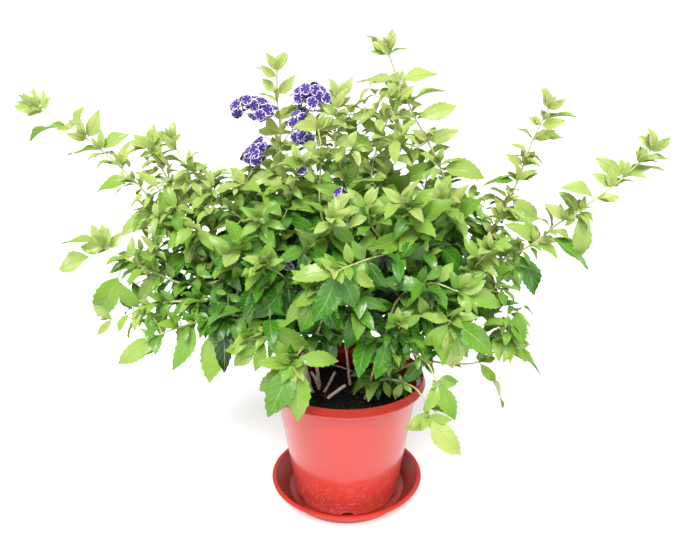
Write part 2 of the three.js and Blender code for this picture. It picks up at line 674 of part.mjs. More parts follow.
function isClear(owner, solid) {
  const box = solid.boundingBox();
  return placed.every((near) => {
    if (near.owner === owner) return true;
    const apart = [0, 1, 2].some(
      (k) => box.min[k] > near.box.max[k] + clearance || near.box.min[k] > box.max[k] + clearance,
    );
    return apart || solid.minGap(near.solid, clearance) >= clearance;
  });
}

const object = new THREE.Group();

function addNode(name, solid, finish) {
  const mesh = new THREE.Mesh(geometryOf(solid), new THREE.MeshStandardMaterial(finishes[finish]));
  mesh.name = name;
  object.add(mesh);
}

const lines = {};
for (const [name, [foot, ...way]] of Object.entries(stems)) {
  const path = [[...foot, soilZ - stemRootDepth], ...way].map((point) => new THREE.Vector3(...point));
  lines[name] = new Line(path, stemRadius, stemStep);
}

// A shoot or raceme starts on the line that carries it, so that line grows first.
function grow(name) {
  if (lines[name]) return lines[name];
  const { on, at, way } = shoots[name] ?? racemes[name];
  const rest = way.map((point) => new THREE.Vector3(...point));
  const bearer = grow(on);
  const start = bearer.pointAt(Math.min(at, 1 - seatDepth / bearer.length));
  start.addScaledVector(rest[0].clone().sub(start).normalize(), seatDepth);
  const [radius, step] = name in shoots ? [shootRadius, shootStep] : [racemeRadius, racemeStep];
  lines[name] = new Line([start, ...rest], radius, step);
  return lines[name];
}
for (const name of [...Object.keys(shoots), ...Object.keys(racemes)]) grow(name);

const pieces = { saucer: saucerSolid(), pot: potSolid(), soil: soilSolid() };
for (const name of Object.keys(stems)) pieces[name] = lines[name].rod;

// A shoot or raceme is cut back where it would run into the lines that stand before it.
for (const name of Object.keys(lines)) {
  if (name in stems) continue;
  pieces[name] = lines[name].rod;
  for (const other of Object.keys(lines)) {
    if (other === name) break;
    if (pieces[name].minGap(lines[other].rod, gap) < gap) {
      pieces[name] = pieces[name].subtract(lines[other].room);
    }
  }
}
for (const [name, { florets }] of Object.entries(racemes)) {
  for (const floret of floretSolids(lines[name], florets)) {
    pieces[name] = pieces[name].add(floret);
  }
}
for (const [name, piece] of Object.entries(pieces)) place(name, piece);

let seed = 0;
for (const [name, { leaves, pairs }] of Object.entries(shoots)) {
  seed += 1;
  const random = series(seed);
  for (const leaf of [...drawnLeaves(leaves, random), ...pairedLeaves(lines[name], pairs, random)]) {
    const base = lines[name].pointAt(Math.min(leaf.at, 1 - shootRadius / lines[name].length));
    for (const lean of leans) {
      const solid = leafSolid(base, leaned(leaf.reach, lean), leaf.facing);
      if (!isClear(name, solid)) continue;
      place(name, solid);
      pieces[name] = pieces[name].add(solid);
      break;
    }
  }
}

addNode("saucer", pieces.saucer, "saucer");
addNode("pot", pieces.pot, "pot");
addNode("soil", pieces.soil, "soil");
for (const name of Object.keys(stems)) addNode(name, pieces[name], "bark");
for (const name of Object.keys(shoots)) addNode(`shoot_${name}`, pieces[name], "leaf");
for (const name of Object.keys(racemes)) addNode(name, pieces[name], "petal");

export default object;
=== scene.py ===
# Potted golden dewdrop: leaves, twigs, flowers, pot, saucer and soil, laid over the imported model.
import math
import random

import bpy
import numpy as np
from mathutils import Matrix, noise
from mathutils.kdtree import KDTree


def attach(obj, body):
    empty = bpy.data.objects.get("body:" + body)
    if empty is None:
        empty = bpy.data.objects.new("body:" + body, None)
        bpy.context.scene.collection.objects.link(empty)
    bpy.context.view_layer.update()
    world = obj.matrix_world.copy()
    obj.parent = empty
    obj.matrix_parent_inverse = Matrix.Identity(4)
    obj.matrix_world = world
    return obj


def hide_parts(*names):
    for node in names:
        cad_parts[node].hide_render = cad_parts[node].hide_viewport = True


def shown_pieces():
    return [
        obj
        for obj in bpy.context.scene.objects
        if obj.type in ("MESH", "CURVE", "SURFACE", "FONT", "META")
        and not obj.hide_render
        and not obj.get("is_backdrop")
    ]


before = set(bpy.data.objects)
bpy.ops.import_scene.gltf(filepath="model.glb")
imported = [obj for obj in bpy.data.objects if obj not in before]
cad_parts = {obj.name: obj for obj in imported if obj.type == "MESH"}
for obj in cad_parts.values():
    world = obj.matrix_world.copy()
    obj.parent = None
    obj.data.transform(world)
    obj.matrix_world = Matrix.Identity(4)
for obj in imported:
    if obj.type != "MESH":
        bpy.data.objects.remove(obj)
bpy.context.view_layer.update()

mm = 0.001
print("frame:", len(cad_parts), "nodes")

# The camera stands where the photograph was taken from: in front, a little above, looking down.
cameraSet = {"lens": 32.33, "place": (0.002, -0.760, 0.541), "lookDown": 16.6}


def placeCamera():
    data = bpy.data.cameras.new("camera")
    data.lens = cameraSet["lens"]
    data.sensor_width = 36
    camera = bpy.data.objects.new("camera", data)
    camera.location = cameraSet["place"]
    camera.rotation_euler = (math.radians(90 - cameraSet["lookDown"]), 0, 0)
    bpy.context.scene.collection.objects.link(camera)
    bpy.context.scene.camera = camera


placeCamera()

# The plant's lines and leaves, in millimetres: the same places as in the solid model.
# A stem starts in the soil. A leaf is where it stands along its shoot (0 to 1), its reach in x
# and in z, and how far it is turned to the front (0 to 1).
stems = {
    "stem_left": [(-44, 8), (-62, 4, 190), (-105, 0, 250), (-152, 0, 297)],
    "stem_flower": [(-36, 18), (-50, 20, 250), (-80, 20, 345)],
    "stem_front_left": [(-50, -4), (-52, -35, 200), (-45, -70, 245)],
    "stem_back_left": [(-48, 24), (-75, 60, 230), (-110, 100, 310)],
    "stem_right": [(32, 4), (62, 2, 195), (105, 2, 250), (145, 4, 295)],
    "stem_middle": [(6, 22), (-4, 28, 240), (0, 15, 350)],
    "stem_back_right": [(34, 26), (62, 70, 230), (95, 110, 310)],
    "stem_front_right": [(22, -14), (36, -42, 205), (48, -60, 262)],
}


# What bears a shoot or raceme and where along it (0 to 1), its way, its leaves, and pairs drawn by rule
def growsOn(bearer, at, way, leaves=(), pairs=0):
    return {"on": bearer, "at": at, "way": way, "leaves": leaves, "pairs": pairs}


shoots = {
    "far_left": growsOn("stem_left", 1, [
        (-185, 5, 330), (-230, 15, 385), (-270, 25, 430), (-310, 35, 465), (-345, 40, 490),
        (-385, 45, 515),
    ], [
        (1, -14, 18, 1), (1, -26, 6, 0.5), (0.98, -20, -7, 0.8), (0.97, 8, 18, 1), (0.85, 24, 27, 0.6),
        (0.85, -60, -16, 0.1), (0.78, 22, 37, 1), (0.71, 37, 20, 0.6), (0.71, -50, -6, 0.2),
        (0.62, 14, 29, 1), (0.62, -24, 6, 0.1), (0.6, 3, -20, 1), (0.54, -49, -15, 0.5),
        (0.52, 24, 18, 0.5), (0.4, -22, 4, 0.2), (0.37, -60, -31, 0.6), (0.37, 22, 16, 0.6),
        (0.27, -38, -5, 0.1), (0.27, 4, 26, 1), (0.13, -56, -2, 0.5),
    ]),
    "left_mid": growsOn("far_left", 0.14, [
        (-190, 18, 368), (-205, 24, 400), (-225, 28, 428), (-236, 30, 450), (-246, 34, 468),
    ], [
        (1, -13, 9, 0.8), (1, 3, 14, 1), (0.94, -17, -5, 0.6), (0.87, 32, -4, 0.3), (0.78, 0, 29, 0.4),
        (0.69, -24, 3, 0.3), (0.66, 24, 19, 0.6), (0.48, 46, 31, 0.5), (0.48, -24, 4, 0.5),
    ], pairs=1),
    "left_high": growsOn("stem_flower", 1, [
        (-105, 6, 368), (-140, 2, 390), (-165, 8, 415), (-195, 12, 445), (-206, 18, 462), (-215, 20, 477),
    ], [
        (1, -5, 17, 1), (0.98, 13, 11, 1), (1, -18, 2, 0.2), (0.93, -25, 4, 0.1), (0.81, 17, 18, 0.3),
        (0.81, 25, -3, 0.6), (0.76, -26, -32, 0.9), (0.6, 28, 17, 0.1), (0.52, 12, 21, 1),
        (0.6, -30, -16, 0.7), (0.52, 31, 11, 0.3), (0.41, -20, -22, 0.8), (0.37, 29, 11, 0.6),
        (0.2, -18, -28, 0.8), (0.2, 29, 12, 0.6),
    ]),
    "left": growsOn("far_left", 0.02, [
        (-200, -15, 302), (-235, -25, 320), (-260, -30, 336), (-290, -35, 355),
    ], [
        (1, 8, 27, 0.8), (1, -17, 27, 1), (1, -53, 6, 0.1), (0.96, -77, -32, 0.6), (0.96, 15, 20, 0.8),
        (0.81, -44, -74, 0.9), (0.78, 2, 28, 0.7), (0.7, -36, -8, 0.4), (0.59, -4, 30, 0.5),
        (0.59, -32, -12, 0.1), (0.55, -24, -38, 0.9), (0.42, 20, 26, 0.6), (0.32, -20, -32, 0.8),
        (0.22, 22, 27, 0.6),
    ]),
    "left_low": growsOn("stem_left", 0.72, [
        (-160, -35, 288), (-205, -45, 290), (-235, -50, 290), (-260, -52, 277), (-285, -54, 270),
    ], [
        (1, -9, -13, 1), (0.99, -17, 7, 0.3), (0.88, -12, -20, 0.5), (0.8, -17, 36, 1),
        (0.73, -16, -23, 0.7), (0.64, -6, -46, 1), (0.58, -18, 14, 0.5), (0.42, -36, -17, 0.5),
        (0.33, 10, 25, 0.6), (0.32, -21, -34, 0.8), (0.19, 20, 24, 0.6), (0.19, -12, -32, 0.8),
    ]),
    "low_left": growsOn("stem_left", 0.62, [
        (-125, -45, 272), (-160, -62, 274), (-195, -72, 268), (-225, -78, 258),
    ], [
        (0.99, -47, -34, 0.7), (0.95, -20, -24, 0.8), (0.82, 4, -42, 1), (0.7, -29, -54, 0.6),
        (0.7, -23, -60, 0.4), (0.6, -5, -80, 1), (0.53, 4, -64, 0.9), (0.36, 16, -32, 0.8),
        (0.36, -12, 28, 0.5),
    ]),
    "low_left_front": growsOn("stem_front_left", 0.9, [
        (-70, -82, 258), (-90, -92, 264), (-112, -98, 262),
    ], [
        (0.75, -48, -16, 0.8), (0.92, -26, -38, 0.9), (0.8, -10, -40, 0.9), (0.55, -14, 22, 0.5),
    ]),
    "front_left": growsOn("stem_front_left", 1, [(-50, -95, 252), (-58, -122, 246)], [
        (0.99, -32, 29, 0.9), (1, -42, -1, 0.8), (0.96, 49, -8, 0.7), (0.96, -4, 22, 0.9),
        (0.98, 14, -16, 0.9), (1, 3, -68, 1), (1, -30, -62, 1), (1, -44, -48, 0.9),
    ]),
    "flower_tall": growsOn("stem_flower", 0.92, [
        (-86, 26, 372), (-86, 30, 410), (-84, 30, 450), (-82, 32, 490), (-85, 35, 525), (-84, 35, 560),
    ], [
        (1, 14, 18, 0.8), (1, -9, 11, 1), (0.96, -25, 12, 0.2), (0.87, 23, 23, 1), (0.83, -27, 10, 0.1),
        (0.74, 26, 18, 0.8), (0.67, -28, 2, 0.7), (0.61, -29, -14, 0.8), (0.58, 28, 2, 0.3),
        (0.5, 30, 8, 0.6), (0.47, -43, -16, 0.8), (0.44, -55, 5, 0.1), (0.37, 30, 9, 0.6),
        (0.34, -39, -2, 0.3), (0.25, -22, -20, 0.8), (0.25, 28, -15, 0.8),
    ]),
    "centre": growsOn("stem_middle", 0.85, [(-30, -4, 385), (-32, 0, 430), (-30, 4, 465), (-34, 8, 492)], [
        (0.98, -22, 13, 0.9), (0.98, 30, 12, 0.8), (0.89, -24, -2, 0.5), (0.8, 31, 13, 1),
        (0.78, -29, -10, 0.4), (0.62, -26, 3, 0.5), (0.62, 30, -5, 0.6), (0.42, -27, -12, 0.7),
        (0.4, 29, -4, 0.6),
    ], pairs=1),
    "centre_tall": growsOn("stem_middle", 1, [
        (6, 8, 400), (-6, 10, 440), (-14, 14, 475), (-11, 18, 510), (-10, 20, 528),
    ], [
        (0.92, -10, 23, 1), (0.92, 15, 26, 0.5), (0.99, 6, 19, 0.8), (0.88, 20, 4, 0.1),
        (0.87, -30, 8, 0.2), (0.68, 24, 13, 0.8), (0.66, -27, -10, 0.6), (0.46, 30, 11, 0.6),
        (0.44, -26, -18, 0.7), (0.26, 29, -9, 0.6),
    ]),
    "top_side": growsOn("front_centre", 0.24, [
        (58, 6, 398), (34, 10, 425), (32, 15, 448), (40, 20, 472), (50, 25, 500), (60, 30, 526),
    ], [
        (1, -15, 7, 1), (1, 5, 18, 0.6), (0.94, -15, 4, 0.6), (0.87, -46, 1, 0.4), (0.88, 16, 2, 0.8),
        (0.78, -29, 22, 1), (0.69, 42, 20, 0.4), (0.68, -40, 15, 0.9), (0.56, -18, 19, 1),
        (0.48, 34, 10, 0.2), (0.42, -25, 8, 0.6), (0.34, 24, -10, 0.7), (0.28, -29, -10, 0.7),
    ]),
    "top": growsOn("stem_right", 1, [
        (155, 18, 335), (145, 24, 375), (130, 28, 405), (119, 30, 440), (101, 35, 475), (84, 40, 505),
        (65, 45, 545), (50, 50, 582),
    ], [
        (1, 3, 22, 1), (1, -26, 19, 0.1), (0.98, 21, 8, 0.1), (0.98, -24, 4, 0.5), (0.87, -54, 2, 0.3),
        (0.87, 48, 12, 0.5), (0.84, -22, -8, 0.9), (0.79, 19, -4, 1), (0.78, 44, 17, 0.1),
        (0.72, 53, 15, 0.7), (0.72, -24, 8, 0.8), (0.61, 36, 16, 0.9), (0.62, -18, 6, 0.3),
        (0.52, -44, -23, 0.8), (0.52, 6, 16, 1), (0.51, 26, 11, 0.2), (0.5, 55, -12, 0.7),
        (0.42, 29, -24, 1), (0.42, -20, 6, 0.2), (0.39, -36, -26, 0.8), (0.33, 36, 4, 0.6),
        (0.29, -28, -23, 0.9), (0.23, 42, -9, 0.5), (0.12, -29, -33, 1), (0.12, 24, -32, 0.9),
    ]),
    "right_high": growsOn("top", 0.04, [
        (162, 10, 328), (180, 12, 360), (195, 10, 385), (201, 10, 405), (210, 10, 425), (216, 10, 445),
        (225, 10, 475), (234, 6, 500), (240, 5, 516),
    ], [
        (1, -4, 24, 1), (1, 21, 8, 0.2), (1, 8, 15, 0.5), (0.93, 41, 4, 0.1), (0.9, -15, 11, 0.8),
        (0.82, 40, 3, 0.4), (0.82, -23, 15, 0.2), (0.69, -23, 12, 0.9), (0.68, 12, 7, 0.5),
        (0.59, -42, -6, 0.3), (0.59, -13, 12, 0.7), (0.59, 25, 11, 0.2), (0.5, 43, -32, 0.8),
        (0.49, -26, 14, 0.3), (0.46, -37, 3, 0.3), (0.38, 27, 14, 0.2), (0.38, 42, 0, 0.6),
        (0.36, -12, 18, 0.8), (0.25, 25, -14, 0.8), (0.25, -26, 17, 0.5), (0.16, -22, -18, 0.8),
    ]),
    "far_right": growsOn("stem_right", 0.9, [
        (158, -6, 308), (180, -10, 325), (225, -20, 354), (255, -20, 380), (275, -25, 396),
        (308, -30, 424), (335, -30, 450), (352, -30, 470),
    ], [
        (1, -14, 17, 1), (1, 25, 9, 0.6), (1, 5, 14, 0.8), (0.93, -5, 15, 0.5), (0.93, 39, 6, 0.3),
        (0.85, -32, 23, 1), (0.85, 57, 8, 0.1), (0.79, -24, 17, 0.7), (0.79, 30, 8, 0.1),
        (0.72, -44, 14, 0.5), (0.64, -23, 23, 0.7), (0.65, 8, -66, 1), (0.63, -12, -17, 0.7),
        (0.57, -26, 22, 0.7), (0.57, -6, 23, 1), (0.49, 56, -45, 0.3), (0.43, -11, 31, 0.8),
        (0.43, -38, 23, 0.6), (0.35, 27, -57, 0.8), (0.31, 5, -38, 1), (0.3, -26, 15, 0.4),
        (0.21, 7, -38, 0.9), (0.21, -14, 17, 0.6), (0.14, 25, -35, 0.7),
    ]),
    "right_low": growsOn("stem_front_right", 0.92, [(62, -62, 300), (95, -72, 322), (130, -80, 314)], [
        (1, -25, -4, 0.3), (1, 53, -21, 0.7), (1, 18, -19, 1), (1, 32, 23, 0.4), (0.98, -8, 24, 0.5),
        (0.8, 17, 25, 0.6), (0.62, 8, 25, 0.6), (0.62, -9, -35, 0.9),
    ], pairs=1),
    "right_low_front": growsOn("stem_front_right", 1, [(72, -72, 280), (100, -88, 288), (120, -98, 284)], [
        (1, 46, -34, 0.9), (1, 30, 8, 0.5), (0.98, -32, -33, 1), (0.99, -36, 6, 0.5), (1, 6, -64, 1),
        (1, 23, -48, 0.9), (0.6, -7, 27, 0.6), (0.6, 13, -34, 0.9), (0.3, -6, -28, 0.9),
    ]),
    "thin_right": growsOn("stem_right", 0.1, [
        (70, -14, 186), (100, -20, 200), (130, -24, 198), (165, -26, 200), (185, -30, 215),
        (208, -30, 230),
    ], [
        (1, 20, 2, 0.2), (0.95, 10, 12, 1), (0.9, 57, -32, 0.1), (0.76, 26, -30, 1),
        (0.76, 42, -76, 0.15), (0.56, 20, -7, 0.3), (0.42, 8, 21, 0.6),
    ]),
    "droop_right": growsOn("stem_front_right", 0.78, [(62, -72, 242), (92, -88, 232), (106, -96, 208)], [
        (1, 22, -45, 1), (1, -14, -37, 0.9), (0.68, -21, -36, 0.9), (0.62, 24, 5, 0.6),
        (0.36, -11, -31, 0.8),
    ]),
    "droop_rim": growsOn("stem_front_right", 0.2, [
        (48, -36, 182), (80, -66, 188), (94, -92, 180), (98, -104, 168),
    ], [
        (1, 38, -48, 1), (0.98, 22, -28, 0.8), (0.94, -26, -30, 0.9), (0.86, 26, 4, 0.5),
        (0.5, -8, -26, 0.9),
    ]),
    "front_centre": growsOn("top", 0.15, [
        (100, -25, 372), (55, -75, 362), (20, -110, 360), (-10, -135, 355),
    ], [
        (1, -48, -6, 0.6), (1, 18, -46, 1), (1, -26, -54, 1), (1, -14, 18, 0.8), (0.93, 28, -25, 0.9),
        (0.91, -6, 25, 0.7), (0.82, 22, -30, 1), (0.82, -16, 24, 0.7), (0.69, 18, -26, 1),
        (0.58, -24, 21, 0.6), (0.58, 34, -15, 0.8), (0.44, -15, 24, 0.6), (0.28, 20, -24, 0.8),
        (0.28, -19, 21, 0.5),
    ]),
    "front_low": growsOn("stem_front_left", 0.8, [(-30, -84, 275), (-26, -106, 310), (-32, -124, 332)], [
        (1, -34, -38, 1), (1, -18, -48, 1), (1, 22, -54, 1), (1, -28, 19, 0.6), (0.87, 32, -10, 0.8),
        (0.7, 24, -24, 0.9), (0.6, -29, 6, 0.5),
    ], pairs=1),
    "low_tuft": growsOn("stem_front_right", 0.62, [(44, -72, 250), (58, -92, 266), (60, -104, 284)], [
        (0.97, -2, 23, 0.9), (0.95, -15, 10, 0.9), (0.97, 18, 4, 0.6), (0.84, 23, -23, 1),
        (0.66, -24, -9, 0.3), (0.58, -14, -50, 1), (0.56, 18, -40, 0.9),
    ]),
    "low_front": growsOn("stem_middle", 0.4, [(2, -20, 262), (6, -60, 285), (10, -88, 302)], [
        (0.9, -8, -54, 1), (0.94, 24, -18, 0.8), (0.82, 12, -46, 1), (0.66, -20, -34, 1),
        (0.96, -18, 10, 0.6), (1, 27, 8, 0.7),
    ]),
    "pot_low": growsOn("stem_right", 0.14, [(46, -10, 192)], [
        (1, -40, -42, 0.9), (0.9, 22, -26, 0.8), (0.6, -26, -10, 0.6),
    ]),
    "front_left_up": growsOn("stem_flower", 0.6, [(-62, -40, 300), (-72, -88, 336), (-90, -110, 354)], [
        (1, -4, -26, 1), (0.99, -22, 11, 0.6), (0.97, 20, 9, 0.6), (0.7, -38, -41, 1), (0.7, -3, -45, 1),
        (0.7, 22, 20, 0.6), (0.45, -27, -15, 0.8),
    ], pairs=1),
    "front_up": growsOn("centre", 0.1, [(-30, -60, 370), (-18, -92, 388), (-15, -104, 402)], [
        (1, 25, -24, 1), (0.98, -21, -13, 0.9), (1, 2, 19, 0.7), (0.72, -26, -15, 0.9),
        (0.72, 25, -17, 0.9), (0.5, -23, 13, 0.6),
    ], pairs=1),
    "mid_left": growsOn("stem_left", 0.9, [(-140, -28, 325), (-135, -55, 352)], pairs=5),
    "mid_left_up": growsOn("left_high", 0.3, [(-118, 14, 405), (-122, 20, 425)], pairs=5),
    "mid_front_left": growsOn("stem_flower", 0.8, [(-85, -30, 360), (-98, -72, 398)], pairs=5),
    "mid_up_left": growsOn("flower_tall", 0.12, [(-66, -2, 418), (-56, -10, 452)], pairs=5),
    "mid_front": growsOn("front_centre", 0.62, [(30, -80, 388), (22, -84, 414)], pairs=4),
    "mid_front_right": growsOn("front_centre", 0.36, [(78, -62, 395), (62, -84, 418)], pairs=5),
    "mid_right": growsOn("top", 0.2, [(128, -14, 388), (108, -42, 414)], pairs=5),
    "mid_right_low": growsOn("stem_right", 0.8, [
        (140, -35, 315), (150, -62, 340), (162, -76, 362),
    ], pairs=5),
    "low_back": growsOn("stem_back_left", 0.55, [(-130, 82, 262), (-185, 95, 262)], pairs=5),
    "back_left": growsOn("stem_back_left", 1, [(-145, 135, 345), (-185, 160, 375)], pairs=5),
    "back_left_up": growsOn("back_left", 0.1, [
        (-110, 125, 360), (-95, 140, 430), (-98, 150, 475),
    ], pairs=5),
    "back": growsOn("stem_middle", 0.6, [(-10, 90, 320), (-30, 165, 365), (-40, 225, 385)], pairs=6),
    "back_up": growsOn("stem_middle", 0.9, [(10, 70, 385), (12, 120, 440), (5, 145, 485)], pairs=6),
    "back_right": growsOn("stem_back_right", 1, [(135, 145, 345), (180, 180, 365)], pairs=5),
    "back_right_up": growsOn("back_right", 0.1, [
        (105, 120, 360), (115, 135, 420), (112, 150, 465),
    ], pairs=5),
    "back_right_low": growsOn("stem_back_right", 0.6, [
        (120, 90, 268), (185, 105, 280), (235, 110, 282),
    ], pairs=5),
}

racemes = {
    "raceme_left": growsOn("flower_tall", 0.68, [(-98, 22, 506), (-118, 20, 508), (-142, 18, 512)]),
    "raceme_top": growsOn("flower_tall", 0.72, [(-70, 22, 515), (-54, 18, 528), (-38, 16, 540)]),
    "raceme_middle": growsOn("flower_tall", 0.6, [(-68, 18, 486), (-56, 12, 488), (-42, 8, 500)]),
    "raceme_low": growsOn("flower_tall", 0.56, [(-98, 20, 480), (-112, 16, 468), (-122, 14, 454)]),
    "raceme_inner": growsOn("front_left_up", 0.4, [(-58, -72, 344), (-66, -84, 352)]),
    "raceme_small": growsOn("centre", 0.22, [(-12, -16, 408), (-6, -22, 418)]),
}

# The solid model's own sizes, in millimetres
growth = {
    "soilTop": 144.7, "stemRootDepth": 14, "seatDepth": 1.2, "bladeLength": 62, "bladeWidth": 0.46,
    "stemStep": 34, "shootStep": 25, "racemeStep": 14, "shootRadius": 1.4, "curveSamples": 200,
    "tipWithin": 0.3,  # how near the solid's own corner a leaf's tip lies
    "unseenDepth": 0.7,  # a leaf's reach in y, as a share of its length
}
# The ways a leaf may lean to clear its neighbours, as shares of its length
leans = [
    (0, 0, 0), (0, -0.3, 0), (0, 0.3, 0), (0, 0, -0.3), (0, -0.6, 0), (0, 0.6, 0), (0, 0, 0.3),
    (0, -0.9, -0.2), (0, 0.9, -0.2),
]
upward = np.array([0.0, 0.0, 1.0])
frontward = np.array([0.0, -1.0, 0.0])
sideward = np.array([1.0, 0.0, 0.0])
wholeTurn = 2 * math.pi


def unit(vector):
    return vector / np.linalg.norm(vector)


def clamp(value):
    return min(max(value, 0), 1)


# A line that grows through its points, with knots at even steps
class Line:
    def __init__(self, path, step):
        self.path = np.array(path, float)
        self.places = np.linspace(0, 1, growth["curveSamples"] + 1)
        table = np.array([self.curveAt(place) for place in self.places])
        steps = np.linalg.norm(np.diff(table, axis=0), axis=1)
        self.travelled = np.concatenate([[0], np.cumsum(steps)])
        self.length = self.travelled[-1]
        self.runs = max(2, int(self.length / step + 0.5))
        self.knots = np.array([self.smoothAt(i / self.runs) for i in range(self.runs + 1)])

    def curveAt(self, place):
        last = len(self.path) - 1
        i = min(int(place * last), last - 1)
        weight = place * last - i
        b, c = self.path[i], self.path[i + 1]
        a = self.path[i - 1] if i > 0 else 2 * b - c
        d = self.path[i + 2] if i + 2 <= last else 2 * c - b
        leave, arrive = 0.5 * (c - a), 0.5 * (d - b)
        square = -3 * b + 3 * c - 2 * leave - arrive
        cube = 2 * b - 2 * c + leave + arrive
        return b + leave * weight + square * weight ** 2 + cube * weight ** 3

    def smoothAt(self, share):
        return self.curveAt(np.interp(share * self.length, self.travelled, self.places))

    def smoothRow(self, count):
        return np.array([self.smoothAt(share) for share in np.linspace(0, 1, count)])

    def runOf(self, share):
        return min(int(share * self.runs), self.runs - 1)

    def knotAt(self, share):
        i = self.runOf(share)
        return self.knots[i] + (self.knots[i + 1] - self.knots[i]) * (share * self.runs - i)

    def headingAt(self, share):
        i = self.runOf(share)
        return unit(self.knots[i + 1] - self.knots[i])


lines = {}
for name, (foot, *way) in stems.items():
    lines[name] = Line([(*foot, growth["soilTop"] - growth["stemRootDepth"]), *way], growth["stemStep"])


def growLine(name):
    if name not in lines:
        plan = shoots[name] if name in shoots else racemes[name]
        bearer = growLine(plan["on"])
        start = bearer.knotAt(min(plan["at"], 1 - growth["seatDepth"] / bearer.length))
        start = start + growth["seatDepth"] * unit(np.array(plan["way"][0]) - start)
        step = growth["shootStep" if name in shoots else "racemeStep"]
        lines[name] = Line([tuple(start), *plan["way"]], step)
    return lines[name]


for name in [*shoots, *racemes]:
    growLine(name)


# A small repeatable series of numbers between 0 and 1, as in the solid model
def series(seed):
    state = seed * 7919 + 17
    while True:
        state = state * 16807 % 2147483647
        yield state / 2147483647


def drawnLeaves(plan, numbers):
    leaves = []
    for at, x, z, facing in plan["leaves"]:
        y = (next(numbers) - 0.5) * growth["unseenDepth"] * math.hypot(x, z)
        leaves.append((at, np.array([x, y, z], float), facing))
    return leaves


# Pairs of leaves drawn as the solid model draws them: angles in radians, lengths in millimetres
pairPlan = {
    "from": 0.2, "turn": 0.5, "spread": 0.95, "wider": 0.35, "length": 46, "shorterAtTip": 16,
    "stretch": (0.85, 0.35), "sag": 0.3, "facing": (0.2, 0.6),
}


def pairedLeaves(line, pairs, numbers):
    leaves = []
    for i in range(pairs):
        at = pairPlan["from"] + (1 - pairPlan["from"]) * (i + 1) / pairs
        heading = line.headingAt(at)
        side = unit(sideward - heading * heading[0])
        other = np.cross(heading, side)
        for half in (0, math.pi):
            turn = half + i * math.pi / 2 + pairPlan["turn"] + pairPlan["turn"] * next(numbers)
            spread = pairPlan["spread"] + pairPlan["wider"] * next(numbers)
            length = pairPlan["length"] - pairPlan["shorterAtTip"] * at * at
            length *= pairPlan["stretch"][0] + pairPlan["stretch"][1] * next(numbers)
            reach = heading * math.cos(spread) + side * math.sin(spread) * math.cos(turn)
            reach = reach + other * math.sin(spread) * math.sin(turn) - pairPlan["sag"] * upward
            facing = pairPlan["facing"][0] + pairPlan["facing"][1] * next(numbers)
            leaves.append((at, unit(reach) * length, facing))
    return leaves


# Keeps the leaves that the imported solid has, each leaning as it leans there
def leavesInPlace(name, seed):
    line = lines[name]
    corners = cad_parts["shoot_" + name].data.vertices
    tree = KDTree(len(corners))
    for i, corner in enumerate(corners):
        tree.insert(corner.co, i)
    tree.balance()
    numbers = series(seed)
    kept = []
    drawn = drawnLeaves(shoots[name], numbers)
    for at, reach, facing in [*drawn, *pairedLeaves(line, shoots[name]["pairs"], numbers)]:
        share = min(at, 1 - growth["shootRadius"] / line.length)
        base = line.knotAt(share)
        length = np.linalg.norm(reach)
        for lean in leans:
            leaning = unit(reach + np.array(lean) * length) * length
            if tree.find((base + leaning) * mm)[2] < growth["tipWithin"] * mm:
                kept.append((share, base + leaning, facing))
                break
    return kept


shootLeaves = {name: leavesInPlace(name, seed) for seed, name in enumerate(shoots, 1)}
print("lines:", len(lines), " leaves in place:", sum(len(kept) for kept in shootLeaves.values()))


# A closed tube along a row of points, with its own radius at each
def tubeShell(points, radii, sides):
    points = np.asarray(points, float)
    headings = np.gradient(points, axis=0)
    headings /= np.linalg.norm(headings, axis=1)[:, None]
    side = unit(np.cross(headings[0], sideward if abs(headings[0][0]) < 0.9 else upward))
    turns = wholeTurn * np.arange(sides) / sides
    rings, marks = [], []
    for i, (point, heading, radius) in enumerate(zip(points, headings, radii)):
        side = unit(side - heading * np.dot(side, heading))
        other = np.cross(heading, side)
        rings.append(point + radius * (np.outer(np.cos(turns), side) + np.outer(np.sin(turns), other)))
        marks.append(np.column_stack([turns / wholeTurn, np.full(sides, i / (len(points) - 1))]))
    faces = []
    for i in range(len(points) - 1):
        for j in range(sides):
            k = (j + 1) % sides
            faces.append((i * sides + j, i * sides + k, (i + 1) * sides + k, (i + 1) * sides + j))
    faces.append(tuple(range(sides - 1, -1, -1)))
    faces.append(tuple((len(points) - 1) * sides + j for j in range(sides)))
    return np.concatenate(rings), faces, np.concatenate(marks)


# Closed shells in millimetres, gathered into one piece
class Shells:
    def __init__(self):
        self.points, self.marks, self.ages = [], [], []
        self.faces, self.finishes = [], []
        self.count = 0

    def add(self, points, faces, finishes=0, marks=None, ages=0.5):
        points = np.asarray(points, float)
        self.points.append(points)
        self.marks.append(np.zeros((len(points), 2)) if marks is None else np.asarray(marks, float))
        self.ages.append(np.broadcast_to(np.asarray(ages, float), (len(points),)))
        self.faces.extend([tuple(self.count + corner for corner in face) for face in faces])
        self.finishes.extend([finishes] * len(faces) if isinstance(finishes, int) else finishes)
        self.count += len(points)

    def addTube(self, points, radii, sides, finish=0, ages=0.5):
        points, faces, marks = tubeShell(points, radii, sides)
        self.add(points, faces, finish, marks, ages)

    def mesh(self, name):
        mesh = bpy.data.meshes.new(name)
        mesh.from_pydata((np.concatenate(self.points) * mm).tolist(), [], self.faces)
        return mesh


